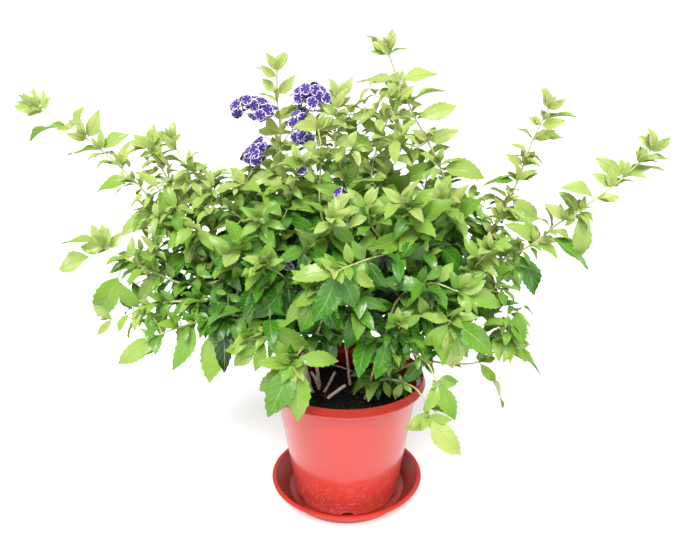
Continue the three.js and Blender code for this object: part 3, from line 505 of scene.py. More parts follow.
# One object from its shells: smooth, with sharp rims, and with the leaf's own map and age on it
def makePiece(name, shells, materials, nodes, sharpAngle=60):
    mesh = shells.mesh(name)
    mesh.update()
    mesh.shade_smooth()
    mesh.set_sharp_from_angle(angle=math.radians(sharpAngle))
    for material in materials:
        mesh.materials.append(finishes[material])
    mesh.polygons.foreach_set("material_index", shells.finishes)
    corners = np.empty(len(mesh.loops), np.int32)
    mesh.loops.foreach_get("vertex_index", corners)
    marks = np.concatenate(shells.marks)[corners]
    mesh.uv_layers.new(name="map").data.foreach_set("uv", marks.astype(np.float32).ravel())
    age = mesh.attributes.new("age", "FLOAT", "POINT")
    age.data.foreach_set("value", np.concatenate(shells.ages).astype(np.float32))
    piece = bpy.data.objects.new(name, mesh)
    bpy.context.scene.collection.objects.link(piece)
    if nodes:
        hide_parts(*nodes)
    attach(piece, "root")
    return piece


# Node helpers for the finishes and for the room's light
class Finish:
    def __init__(self, name, kind="materials"):
        self.name = name
        self.owner = getattr(bpy.data, kind).new(name)
        self.owner.use_nodes = True
        self.nodes, self.links = self.owner.node_tree.nodes, self.owner.node_tree.links
        self.shader = self.nodes.get("Principled BSDF")

    def feed(self, socket, value):
        if isinstance(value, bpy.types.NodeSocket):
            self.links.new(value, socket)
        else:
            socket.default_value = value

    def node(self, kind, inputs=(), **settings):
        made = self.nodes.new(kind)
        for key, value in settings.items():
            setattr(made, key, value)
        for key, value in dict(inputs).items():
            self.feed(made.inputs[key], value)
        return made

    def math(self, operation, a, b=0.0, clamp=False):
        made = self.node("ShaderNodeMath", {0: a, 1: b}, operation=operation, use_clamp=clamp)
        return made.outputs[0]

    def plus(self, a, b, clamp=False):
        return self.math("ADD", a, b, clamp)

    def minus(self, a, b):
        return self.math("SUBTRACT", a, b)

    def times(self, a, b):
        return self.math("MULTIPLY", a, b)

    def between(self, value, low, high, before=0.0, after=1.0):  # fades from before to after
        inputs = {"Value": value, "From Min": low, "From Max": high, "To Min": before, "To Max": after}
        return self.node("ShaderNodeMapRange", inputs, interpolation_type="SMOOTHSTEP").outputs["Result"]

    def noise(self, scale, detail=3.0, roughness=0.55, vector=None):
        vector = self.place() if vector is None else vector
        inputs = {"Vector": vector, "Scale": scale, "Detail": detail, "Roughness": roughness}
        return self.node("ShaderNodeTexNoise", inputs).outputs["Fac"]

    def uneven(self, strength, *noise):  # noise on both sides of 0
        return self.times(self.minus(self.noise(*noise), 0.5), strength)

    def specks(self, scale, low, high):
        cells = self.node("ShaderNodeTexVoronoi", {"Vector": self.place(), "Scale": scale})
        return self.between(cells.outputs["Distance"], low, high)

    def place(self):
        return self.node("ShaderNodeTexCoord").outputs["Object"]

    def split(self, vector):
        return self.node("ShaderNodeSeparateXYZ", {0: vector}).outputs

    def bladeMap(self):  # how far from the middle line, and how far along, both from 0 to 1
        across, along, _ = self.split(self.node("ShaderNodeUVMap", uv_map="map").outputs[0])
        return self.times(self.math("ABSOLUTE", self.minus(across, 0.5)), 2.0), along

    def age(self):
        settings = {"attribute_name": "age", "attribute_type": "GEOMETRY"}
        return self.node("ShaderNodeAttribute", **settings).outputs["Fac"]

    def mix(self, share, a, b):
        made = self.node("ShaderNodeMix", {"Factor": share}, data_type="RGBA")
        for socket, colour in ((6, a), (7, b)):  # the node's two colour sockets
            self.feed(made.inputs[socket], (*colour, 1) if isinstance(colour, tuple) else colour)
        return made.outputs[2]

    def ramp(self, share, stops):
        made = self.node("ShaderNodeValToRGB", {"Fac": share})
        for i, (position, colour) in enumerate(stops):
            stop = made.color_ramp.elements[i] if i < 2 else made.color_ramp.elements.new(position)
            stop.position, stop.color = position, (*colour, 1)
        return made.outputs["Color"]

    def bump(self, height, depth, strength):
        made = self.node("ShaderNodeBump", {"Height": height, "Distance": depth, "Strength": strength})
        self.feed(self.shader.inputs["Normal"], made.outputs["Normal"])

    def set(self, **values):
        names = {"colour": "Base Color", "roughness": "Roughness", "gloss": "Specular IOR Level",
                 "coat": "Coat Weight", "coatRoughness": "Coat Roughness", "sheen": "Sheen Weight",
                 "glow": "Emission Color", "glowStrength": "Emission Strength"}
        for key, value in values.items():
            self.feed(self.shader.inputs[names[key]], (*value, 1) if isinstance(value, tuple) else value)

    def letThrough(self, share, colour):  # light that comes through a thin blade or petal
        through = self.node("ShaderNodeBsdfTranslucent", {"Color": colour}).outputs[0]
        inputs = {"Fac": share, 1: self.shader.outputs[0], 2: through}
        both = self.node("ShaderNodeMixShader", inputs).outputs[0]
        self.feed(self.nodes["Material Output"].inputs["Surface"], both)


# Leaf green runs from deep, in the shade of the crown, to pale lime at the young tips
leafTones = {
    "deep": (0.004, 0.032, 0.002), "middle": (0.042, 0.190, 0.008), "bright": (0.235, 0.410, 0.050),
    "lime": (0.50, 0.605, 0.18), "vein": (0.46, 0.55, 0.24), "under": (0.28, 0.42, 0.12),
    "veinPairs": 6.5, "veinsTop": (0.12, 0.35), "veinsBack": (0.35, 0.7), "paler": 0.30,
    "through": (0.08, 0.44), "lit": 0.32, "litTop": (0.36, 0.60, 0.06), "litBack": (0.40, 0.60, 0.10),
}


def leafVeins(finish):
    side, along = finish.bladeMap()
    midrib = finish.between(side, 0.09, 0.02)
    arched = finish.minus(along, finish.times(finish.math("POWER", side, 0.8), 0.26))
    wave = finish.math("SINE", finish.times(arched, wholeTurn * leafTones["veinPairs"]))
    branches = finish.times(finish.between(wave, 0.72, 0.98), finish.between(side, 1.0, 0.7))
    return midrib, branches, wave


def leafGreen(finish):
    tone = finish.plus(finish.age(), finish.uneven(0.16, 22.0), clamp=True)
    return finish.ramp(tone, [(0.0, leafTones["deep"]), (1.0, leafTones["lime"]),
                              (0.30, leafTones["middle"]), (0.62, leafTones["bright"])])


def veined(finish, green, branches, midrib, shares):
    for part, share in zip((branches, midrib), shares):
        green = finish.mix(finish.times(part, share), green, leafTones["vein"])
    return green


def throughLeaf(finish, colour, lit):  # young leaves are thin and let more light through than old ones
    old, young = leafTones["through"]
    share = finish.plus(finish.times(finish.age(), young - old), old)
    finish.letThrough(share, finish.mix(leafTones["lit"], colour, lit))


def leafTopFinish():
    finish = Finish("leafTop")
    midrib, branches, wave = leafVeins(finish)
    colour = veined(finish, leafGreen(finish), branches, midrib, leafTones["veinsTop"])
    patches = finish.noise(30.0, 2.0)
    roughness = finish.plus(finish.times(patches, 0.3), 0.2)
    gloss = finish.times(finish.between(patches, 0.62, 0.42), 0.6)
    finish.set(colour=colour, roughness=roughness, gloss=gloss)
    pucker = finish.plus(finish.times(wave, -0.04), finish.noise(110.0))
    finish.bump(finish.minus(pucker, finish.times(midrib, 0.7)), 0.0010, 0.7)
    throughLeaf(finish, colour, leafTones["litTop"])
    return finish


def leafBackFinish():
    finish = Finish("leafBack")
    midrib, branches, _ = leafVeins(finish)
    pale = finish.mix(leafTones["paler"], leafGreen(finish), leafTones["under"])
    colour = veined(finish, pale, branches, midrib, leafTones["veinsBack"])
    finish.set(colour=colour, roughness=0.62, gloss=0.25)
    ridges = finish.plus(finish.times(branches, 0.8), finish.times(midrib, 1.6))
    finish.bump(finish.plus(ridges, finish.noise(500.0)), 0.0004, 0.8)
    throughLeaf(finish, colour, leafTones["litBack"])
    return finish


# Twigs are tan and woody where they start and pale yellow-green where they still grow
twigTones = {"old": (0.24, 0.17, 0.095), "green": (0.35, 0.34, 0.14), "young": (0.43, 0.46, 0.17)}


def twigFinish():
    finish = Finish("twig")
    tone = finish.plus(finish.age(), finish.uneven(0.3, 160.0, 4.0), clamp=True)
    stops = [(0.0, twigTones["old"]), (1.0, twigTones["young"]), (0.4, twigTones["green"])]
    finish.set(colour=finish.ramp(tone, stops), roughness=0.55, gloss=0.4)
    finish.bump(finish.noise(900.0), 0.0003, 0.6)
    return finish


# Bark is pale and streaky along the stem, with darker worn patches
barkTones = {
    "dark": (0.42, 0.27, 0.20), "tan": (0.76, 0.56, 0.46), "pale": (0.92, 0.74, 0.64),
    "worn": (0.50, 0.36, 0.28),
}


def barkFinish():
    finish = Finish("bark")
    inputs = {"Vector": finish.place(), "Scale": (1.0, 1.0, 0.22)}  # drawn out along the stem
    streaks = finish.noise(520.0, 5.0, 0.6, finish.node("ShaderNodeMapping", inputs).outputs[0])
    blotches = finish.noise(90.0)
    stops = [(0.30, barkTones["dark"]), (0.72, barkTones["pale"]), (0.5, barkTones["tan"])]
    worn = finish.times(finish.between(blotches, 0.5, 0.7), 0.4)
    colour = finish.mix(worn, finish.ramp(streaks, stops), barkTones["worn"])
    finish.set(colour=colour, roughness=0.85, gloss=0.25)
    finish.bump(finish.plus(streaks, finish.times(blotches, 0.6)), 0.0012, 0.8)
    return finish


# A petal is violet with a crisp pale margin and a darker line down its middle
petalTones = {
    "violet": (0.053, 0.020, 0.208), "dark": (0.022, 0.010, 0.095), "margin": (0.72, 0.65, 0.90),
    "marginFrom": (0.80, 0.89),
}


def petalFinish():
    finish = Finish("petal")
    side, out = finish.bladeMap()
    outwards = finish.math("MAXIMUM", finish.times(side, finish.between(out, 0.05, 0.35)), out)
    edge = finish.plus(outwards, finish.uneven(0.12, 900.0, 2.0))
    vein = finish.times(finish.between(side, 0.30, 0.06), finish.between(out, 0.85, 0.3))
    violet = finish.mix(finish.times(vein, 0.75), petalTones["violet"], petalTones["dark"])
    colour = finish.mix(finish.between(edge, *petalTones["marginFrom"]), violet, petalTones["margin"])
    finish.set(colour=colour, roughness=0.6, gloss=0.3, sheen=0.2)
    finish.bump(finish.noise(1500.0, 2.0), 0.0002, 0.5)
    finish.letThrough(0.15, colour)
    return finish


# The finishes that are only grainy: a noise runs from dark to light, and another one roughens them
grainyPlan = {
    "cutWood": {
        "grain": (700.0, 3.0), "stops": [(0.35, (0.42, 0.31, 0.19)), (0.7, (0.66, 0.54, 0.37))],
        "bump": (700.0, 3.0), "depth": (0.0004, 0.6), "shader": {"roughness": 0.8},
    },
    "calyx": {
        "grain": (500.0, 2.0), "stops": [(0.3, (0.11, 0.15, 0.07)), (0.7, (0.26, 0.30, 0.20))],
        "bump": (1300.0, 2.0), "depth": (0.0002, 0.5), "shader": {"roughness": 0.6},
    },
    "bud": {
        "grain": (700.0, 2.0), "stops": [(0.3, (0.030, 0.013, 0.12)), (0.75, (0.13, 0.075, 0.34))],
        "bump": (1300.0, 2.0), "depth": (0.0002, 0.5), "shader": {"roughness": 0.55, "sheen": 0.2},
    },
    "soilCrumbs": {
        "grain": (140.0, 2.0), "stops": [(0.35, (0.004, 0.003, 0.002)), (0.8, (0.075, 0.048, 0.026))],
        "bump": (1200.0, 3.0), "depth": (0.0008, 0.8), "shader": {"roughness": 0.85, "gloss": 0.2},
    },
}


def grainyFinish(name):
    plan = grainyPlan[name]
    finish = Finish(name)
    finish.set(colour=finish.ramp(finish.noise(*plan["grain"]), plan["stops"]), **plan["shader"])
    finish.bump(finish.noise(*plan["bump"]), *plan["depth"])
    return finish


# The moulded pot: glossy red, with dried specks and dust that gather towards its foot, and a brighter red
# near its foot that is painted light against the saucer's shade
potTones = {
    "red": (0.465, 0.033, 0.023), "deep": (0.40, 0.024, 0.017), "speck": (0.80, 0.55, 0.46),
    # inside and insideDeep are painted shade inside the pot; foot is a brighter red, painted light near the
    # foot
    "inside": (0.34, 0.018, 0.014), "insideDeep": (0.18, 0.010, 0.010), "foot": (0.575, 0.046, 0.033),
    # rim is a darker red, painted shade from the overhanging leaves
    "rim": (0.22, 0.014, 0.006),
}


def potFinish():
    finish = Finish("potPlastic")
    nearFoot = finish.between(finish.split(finish.place())[2], 0.075, 0.010)
    chosen = finish.between(finish.noise(150.0, 2.0), 0.50, 0.60)
    specks = finish.times(finish.specks(620.0, 0.34, 0.18), chosen)
    specks = finish.times(specks, finish.plus(finish.times(nearFoot, 0.9), 0.03))
    dust = finish.times(finish.between(finish.noise(35.0, 5.0), 0.45, 0.8), nearFoot)
    red = finish.mix(finish.noise(14.0, 2.0), potTones["deep"], potTones["red"])
    dusty = finish.mix(finish.times(dust, 0.2), red, potTones["speck"])
    # painted light: near the foot the red turns brighter, making up for the saucer's shade
    litFoot = finish.mix(nearFoot, dusty, potTones["foot"])
    finish.set(colour=finish.mix(specks, litFoot, potTones["speck"]), gloss=0.5, coat=0.45, coatRoughness=0.1)
    smears = finish.plus(finish.times(finish.noise(30.0, 5.0), 0.16), 0.22)
    finish.set(roughness=finish.plus(smears, finish.times(specks, 0.3)))
    finish.bump(finish.plus(finish.noise(45.0, 2.0), finish.times(specks, 0.4)), 0.0006, 0.25)
    return finish


# The inside wall is painted shade: a deeper red than the outside, darker in some patches than in others
def potInsideShadeFinish():
    finish = Finish("potInsideShaded")
    stainsAndShade = finish.between(finish.noise(32.0, 5.0), 0.35, 0.7)
    colour = finish.mix(stainsAndShade, potTones["insideDeep"], potTones["inside"])
    finish.set(colour=colour, gloss=0.08, roughness=finish.plus(finish.times(stainsAndShade, 0.15), 0.65))
    finish.bump(finish.noise(160.0, 4.0), 0.0005, 0.4)
    return finish


def potRimShadeFinish():  # the rim band is painted a darker red as shade from the leaves above, with lighter patches, and is less glossy than the wall
    finish = Finish("potRimShaded")
    rimPatches = finish.noise(60.0, 4.0)
    colour = finish.mix(finish.times(rimPatches, 0.3), potTones["rim"], potTones["red"])
    finish.set(colour=colour, gloss=0.15, roughness=finish.plus(finish.times(rimPatches, 0.2), 0.4))
    finish.bump(finish.noise(90.0), 0.0004, 0.3)
    return finish


# The saucer is duller than the pot, and dust has dried inside it
saucerTones = {
    "red": (0.48, 0.040, 0.026), "deep": (0.335, 0.024, 0.017), "dust": (0.34, 0.15, 0.12),
    "inside": (0.25, 0.018, 0.014), "insideDeep": (0.13, 0.009, 0.008),
}


def saucerFinish():
    finish = Finish("saucerPlastic")
    red = finish.mix(finish.noise(30.0, 4.0), saucerTones["deep"], saucerTones["red"])
    finish.set(colour=red, roughness=0.5, gloss=0.15)
    finish.bump(finish.noise(60.0), 0.0005, 0.3)
    return finish


def saucerInsideFinish():
    finish = Finish("saucerInside")
    dried = finish.between(finish.noise(26.0, 5.0), 0.42, 0.75)
    colour = finish.mix(finish.noise(18.0, 2.0), saucerTones["insideDeep"], saucerTones["inside"])
    for dusty in (finish.times(dried, 0.14), finish.times(finish.specks(260.0, 0.25, 0.12), 0.2)):
        colour = finish.mix(dusty, colour, saucerTones["dust"])
    finish.set(colour=colour, gloss=0.5, coat=0.15, coatRoughness=0.2)
    finish.set(roughness=finish.plus(finish.times(dried, 0.2), 0.28))
    finish.bump(finish.noise(60.0), 0.0005, 0.3)
    return finish


soilTones = {"wet": (0.0015, 0.0012, 0.001), "damp": (0.007, 0.005, 0.004), "dry": (0.035, 0.024, 0.014)}


def soilFinish():
    finish = Finish("pottingSoil")
    grain = finish.noise(260.0, 6.0, 0.7)
    stops = [(0.3, soilTones["wet"]), (0.85, soilTones["dry"]), (0.6, soilTones["damp"])]
    finish.set(colour=finish.ramp(grain, stops), roughness=0.9, gloss=0.15)
    finish.bump(finish.plus(grain, finish.noise(900.0)), 0.003, 1.0)
    return finish


finishes = {finish.name: finish.owner for finish in (
    leafTopFinish(), leafBackFinish(), twigFinish(), barkFinish(), petalFinish(), potFinish(),
    potInsideShadeFinish(), potRimShadeFinish(), saucerFinish(), saucerInsideFinish(), soilFinish(),
    *map(grainyFinish, grainyPlan),
)}
print("finishes:", len(finishes))

# A blade: rows from its foot to its tip, faintly toothed from a quarter of the way up, in millimetres
bladePlan = {
    "rows": (0, 0.05, 0.11, 0.18, 0.25, 0.32, 0.39, 0.46, 0.53, 0.60, 0.67, 0.74, 0.81, 0.88, 0.945),
    "fewRows": (0, 0.08, 0.20, 0.34, 0.48, 0.62, 0.76, 0.89), "fewBelow": 24,
    "widthScale": 3.40, "toFoot": 0.75, "toTip": 1.05, "slim": (0.82, 1.10), "firstTooth": 4,
    "tooth": 1.07, "notch": 0.95, "toothLean": 0.012, "thickness": 0.32, "stalkHalf": 0.55,
    "stalkThickness": 1.0, "fullStalkFrom": 35, "ridge": 0.35, "bow": (0.04, 0.14), "fold": (0.12, 0.48),
    "bend": 0.07, "twist": 0.6, "twistFrom": 0.3, "wave": 0.04, "waves": 9, "curl": 0.07, "backFrom": 56,
}
bladeColumns = np.array([-1, -0.5, 0, 0.5, 1, -0.5, 0, 0.5])
upperColumns, lowerColumns = (0, 1, 2, 3, 4), (0, 5, 6, 7, 4)


def bladeFaces(rows):
    base, tip = rows * 8, rows * 8 + 1
    faces, finishNumbers = [], []
    for number, columns in enumerate((upperColumns, lowerColumns)):
        for c, d in zip(columns, columns[1:]):
            strip = [(base, d, c)]
            strip += [(r * 8 + c, r * 8 + d, r * 8 + 8 + d, r * 8 + 8 + c) for r in range(rows - 1)]
            strip += [(rows * 8 - 8 + c, rows * 8 - 8 + d, tip)]
            faces += [face[::-1] for face in strip] if number else strip
            finishNumbers += [number] * len(strip)
    return faces, finishNumbers


leafFaces = {kind: bladeFaces(len(bladePlan[kind]) + 1) for kind in ("rows", "fewRows")}


# Which way a leaf's upper side looks: up, or outwards from the crown
def leafOut(base, facing):
    isFront = base[1] < bladePlan["backFrom"]
    outwards = frontward if isFront else unit(np.array([0.6 * base[0], base[1], 0.0]))
    return upward * (1 - facing) + outwards * facing


# One leaf with its stalk, from where it stands to its tip
def addLeaf(shells, base, tip, facing, age, chance):
    reach = tip - base
    length = np.linalg.norm(reach)
    along = reach / length
    out = leafOut(base, facing)
    out = unit(out - along * np.dot(out, along))
    across = np.cross(along, out)
    kind = "fewRows" if length < bladePlan["fewBelow"] else "rows"
    stalk = max(0.1, 1 - growth["bladeLength"] / length)
    half = 0.5 * growth["bladeWidth"] * length * (1 - stalk) * chance.uniform(*bladePlan["slim"])
    blade = np.array(bladePlan[kind])
    outline = bladePlan["widthScale"] * blade ** bladePlan["toFoot"] * (1 - blade) ** bladePlan["toTip"]
    rows = np.concatenate([[0.5 * stalk], stalk + (1 - stalk) * blade])
    small = min(1, length / bladePlan["fullStalkFrom"])
    halves = np.maximum(np.concatenate([[0], half * outline]), bladePlan["stalkHalf"] * small)
    isStalk = halves < bladePlan["stalkHalf"] * 1.01
    thick = np.where(isStalk, bladePlan["stalkThickness"] * small, bladePlan["thickness"])
    number = np.arange(len(rows)) - 1
    toothed = (number >= bladePlan["firstTooth"]) & (kind == "rows")
    isTooth = toothed & (number % 2 == 0)
    tooth = np.where(toothed, np.where(isTooth, bladePlan["tooth"], bladePlan["notch"]), 1.0)
    lean = np.where(isTooth, bladePlan["toothLean"], 0.0)

    v = np.tile(bladeColumns, (len(rows), 1))
    isRim = np.abs(v) == 1
    share = rows[:, None] + np.where(isRim, lean[:, None], 0)
    side = v * halves[:, None] * np.where(isRim, tooth[:, None], 1)
    wave = bladePlan["wave"] * length * (halves[:, None] / half) * v ** 2
    lift = chance.uniform(*bladePlan["bow"]) * length * np.sin(math.pi * share)
    lift = lift + chance.uniform(*bladePlan["fold"]) * np.abs(side)
    lift = lift + wave * np.sin(bladePlan["waves"] * share + chance.uniform(0, 6.3) + 2 * np.sign(v))
    lift = lift - chance.uniform(0, bladePlan["curl"]) * length * share ** 3
    ridge = np.where((np.arange(8) == 6) & ~isStalk[:, None], bladePlan["ridge"], 0)
    lift = lift + np.where(np.arange(8) < 5, 1, -1) * np.where(isRim, 0, 0.5) * thick[:, None] - ridge
    past = share - bladePlan["twistFrom"]
    turn = chance.uniform(-1, 1) * bladePlan["twist"] * past ** 2 * np.sign(past)
    side, lift = side * np.cos(turn) - 0.3 * lift * np.sin(turn), lift + side * np.sin(turn)
    side = side + chance.uniform(-1, 1) * bladePlan["bend"] * length * np.sin(math.pi * share)

    points = base + share[..., None] * length * along + side[..., None] * across + lift[..., None] * out
    inBlade = np.tile(np.clip((rows - stalk) / (1 - stalk), 0, 1)[:, None], (1, 8))
    marks = np.stack([(v + 1) / 2, inBlade], -1).reshape(-1, 2)
    points = np.vstack([points.reshape(-1, 3), base, base + reach])
    marks = np.vstack([marks, (0.5, 0), (0.5, 1)])
    shells.add(points, *leafFaces[kind], marks, age)


# How young a leaf looks, partly for its age and partly as painted light and shade: towards the tips and the
# top it is lime, deep in the crown it is dark green
ageAndShadePlan = {
    "deepest": 0.05, "outwards": 0.53, "toTip": 0.22, "toTop": 0.44, "spread": 0.16,
    "crown": (-8, 15, 320), "crownHalf": (165, 125, 125), "crownEdge": 1.05, "inner": 0.35, "outer": 1.6,
    "topFrom": 290, "topOver": 155,
}
toneOfShoot = {  # shoots whose leaves are darker (below 0) or lighter than their place would make them
    "front_left": -0.14, "droop_rim": 0.06, "front_centre": -0.20, "mid_front": -0.16, "low_left": -0.14,
    "left_low": -0.10, "left": -0.06, "droop_right": -0.12, "right_low_front": -0.08, "right_low": -0.06,
    "pot_low": -0.15, "mid_front_left": -0.16, "front_left_up": -0.18, "front_up": -0.12, "front_low": -0.14,
    "mid_front_right": -0.12, "mid_left": -0.08, "mid_right": -0.10, "low_front": -0.08, "low_tuft": -0.06,
}
# Painted shade: how much darker a leaf is painted where it is seen on edge, and on those shoots where it
# hangs
edgeOnShade = {
    "far_left": 0.36, "left": 0.25, "left_mid": 0.25, "left_high": 0.25, "right_high": 0.3,
    "far_right": 0.2,
}
hangingShade = {"below": -40, "shadeDarker": 0.2}


def crownDistance(place):
    return np.linalg.norm((place - ageAndShadePlan["crown"]) / ageAndShadePlan["crownHalf"])


def isInCrown(place):
    return crownDistance(place) < ageAndShadePlan["crownEdge"]


def leafAgeAndShade(name, share, tip, chance):
    outwards = clamp((crownDistance(tip) - ageAndShadePlan["inner"]) / (ageAndShadePlan["outer"] - ageAndShadePlan["inner"]))
    height = clamp((tip[2] - ageAndShadePlan["topFrom"]) / ageAndShadePlan["topOver"])
    age = ageAndShadePlan["deepest"] + ageAndShadePlan["outwards"] * outwards + ageAndShadePlan["toTip"] * share ** 2 * outwards
    return clamp(age + (ageAndShadePlan["toTop"] * height + toneOfShoot.get(name, 0) + chance.gauss(0, ageAndShadePlan["spread"])))


# Leaves too small for the solid model stand in the axils, and pairs of leaves fill the shoots
fillPlan = {
    "tufts": (1, 2, 2, 3), "tuftsInCrown": (0, 1, 1), "tuftLength": (9, 24), "tuftLengthOut": (13, 30),
    "tuftFacing": (0.1, 0.6), "tuftYounger": 0.10, "highFrom": 470, "highFacing": 0.4,
    "tipLeaves": 2, "tipLength": (19, 30), "tipFacing": (0.7, 1), "tipYounger": 0.06,
    "spacing": 9, "fillLength": (22, 42), "fillTo": 0.85, "pairForward": (0.1, 0.8), "stretch": (0.85, 1.15),
}
bareTips = {  # long shoots with few leaves towards their tips: how far up their pairs go
    "far_left": 0.65, "far_right": 0.55, "right_high": 0.65, "left": 0.6, "left_low": 0.7, "top": 0.75,
    "thin_right": 0.2, "droop_rim": 0.2, "droop_right": 0.5, "flower_tall": 0.7, "left_high": 0.8,
    "front_left": 0.2, "low_left": 0.7, "low_left_front": 0.5, "pot_low": 0.3,
}
shootTwig = {
    "foot": 2.1, "tip": 0.8, "step": 4.0, "sides": 8, "swell": 0.35, "swellLength": 1.6, "age": 0.5,
    "woodier": {  # the age at the foot of the shoots that are tan further up
        "top": 0.05, "right_high": 0.08, "flower_tall": 0.2, "top_side": 0.2, "centre_tall": 0.2,
        "left_mid": 0.3,
    },
}


def sideways(heading, turn):
    start = sideward if abs(heading[0]) < 0.95 else upward
    side = unit(start - heading * np.dot(heading, start))
    return side * math.cos(turn) + np.cross(heading, side) * math.sin(turn)


# Side twigs fill the crown evenly: each grows from the nearest shoot to its own place in it
crownPlan = {
    "parts": (  # centre and half size of each part of the crown, and how many side twigs it gets
        ((-8, 5, 322), (152, 112, 112), 140), ((-185, 12, 364), (80, 50, 74), 40),
        ((165, 0, 345), (55, 60, 65), 13), ((35, 28, 475), (75, 40, 65), 18),
        ((100, -62, 268), (55, 40, 24), 10), ((-190, -42, 272), (75, 35, 28), 12),
        ((165, -50, 290), (50, 40, 26), 7),
    ),
    "overSoil": (24, -30, 183), "starts": (0.05, 0.95, 20), "tries": 6000, "boxiness": 2.6, "apart": 24,
    "lowest": 258,
    "reach": (14, 75), "sway": 0.08, "sag": 0.12, "radius": (0.9, 0.45), "points": 7, "sides": 6,
    "age": 0.55, "step": 16, "leaf": (31, 54), "leafOut": (22, 40), "lastPair": 0.6, "droop": 0.45,
    "lowDroop": 0.55, "droopBetween": (240, 340), "facing": (0.3, 1.0), "facingOut": (0.0, 0.4),
}


def crownTwigs():
    chance = random.Random(5)
    along = [(name, share) for name in shoots for share in np.linspace(*crownPlan["starts"])]
    places = np.array([lines[name].smoothAt(share) for name, share in along])
    chosen, twigs = [], {name: [] for name in shoots}
    for centre, half, count in crownPlan["parts"]:
        wanted = len(chosen) + count
        for _ in range(crownPlan["tries"]):
            if len(chosen) == wanted:
                break
            draw = np.array([chance.uniform(-1, 1) for _ in range(3)])
            place = np.array(centre) + draw * half
            if np.sum(np.abs(draw) ** crownPlan["boxiness"]) > 1 or place[2] < crownPlan["lowest"]:
                continue
            if chosen and np.min(np.linalg.norm(np.array(chosen) - place, axis=1)) < crownPlan["apart"]:
                continue
            gaps = np.linalg.norm(places - place, axis=1) + 0.5 * np.maximum(places[:, 2] - place[2], 0)
            nearest = int(np.argmin(gaps))
            if crownPlan["reach"][0] < gaps[nearest] < crownPlan["reach"][1]:
                chosen.append(place)
                twigs[along[nearest][0]].append((along[nearest][1], place))
    twigs["pot_low"].append((0.8, np.array(crownPlan["overSoil"], float)))
    return twigs


sideTwigs = crownTwigs()
print("side twigs:", sum(len(twigs) for twigs in sideTwigs.values()))


def addPair(shells, name, share, base, heading, turn, length, chance):
    low, high = crownPlan["droopBetween"]
    droop = crownPlan["droop"] + crownPlan["lowDroop"] * clamp((high - base[2]) / (high - low))
    for half in (0, math.pi):
        reach = sideways(heading, turn + half) + heading * chance.uniform(*fillPlan["pairForward"])
        tip = base + unit(reach - droop * upward) * length * chance.uniform(*fillPlan["stretch"])
        facing = chance.uniform(*crownPlan["facing" if isInCrown(tip) else "facingOut"])
        addLeaf(shells, base, tip, facing, leafAgeAndShade(name, share, tip, chance), chance)


def addSideTwig(shells, name, start, end, chance):
    reach = end - start
    length = np.linalg.norm(reach)
    sway = crownPlan["sway"]
    sway = np.array([chance.uniform(-sway, sway), chance.uniform(-sway, sway), -crownPlan["sag"]]) * length
    count = crownPlan["points"]
    shares = np.linspace(0, 1, count)[:, None]
    points = start + reach * shares + 4 * sway * shares * (1 - shares)
    radii = np.linspace(*crownPlan["radius"], count)
    shells.addTube(points, radii, crownPlan["sides"], 2, crownPlan["age"])
    pairs = max(2, int(length / crownPlan["step"] + 0.5) + 1)
    firstTurn = chance.uniform(0, 6.3)
    for i in range(pairs):
        at = (1 - i * (0.75 / pairs)) * (count - 1)
        j = min(int(at), count - 2)
        base = points[j] + (points[j + 1] - points[j]) * (at - j)
        heading = unit(points[j + 1] - points[j])
        size = chance.uniform(*crownPlan["leaf" if isInCrown(base) else "leafOut"])
        size *= crownPlan["lastPair"] if i == 0 else 1
        addPair(shells, name, 0.3, base, heading, firstTurn + i * 1.57, size, chance)


def addTuft(shells, name, share, base, chance):
    place = "tuftLength" if isInCrown(base) else "tuftLengthOut"
    heading = lines[name].headingAt(share)
    reach = heading * chance.uniform(0.4, 1.2) + sideways(heading, chance.uniform(0, 6.3)) + 0.2 * upward
    tip = base + unit(reach) * chance.uniform(*fillPlan[place])
    age = min(1, leafAgeAndShade(name, share, tip, chance) + fillPlan["tuftYounger"])
    facing = chance.uniform(*fillPlan["tuftFacing"])
    facing += fillPlan["highFacing"] if tip[2] > fillPlan["highFrom"] else 0
    addLeaf(shells, base, tip, facing, age, chance)


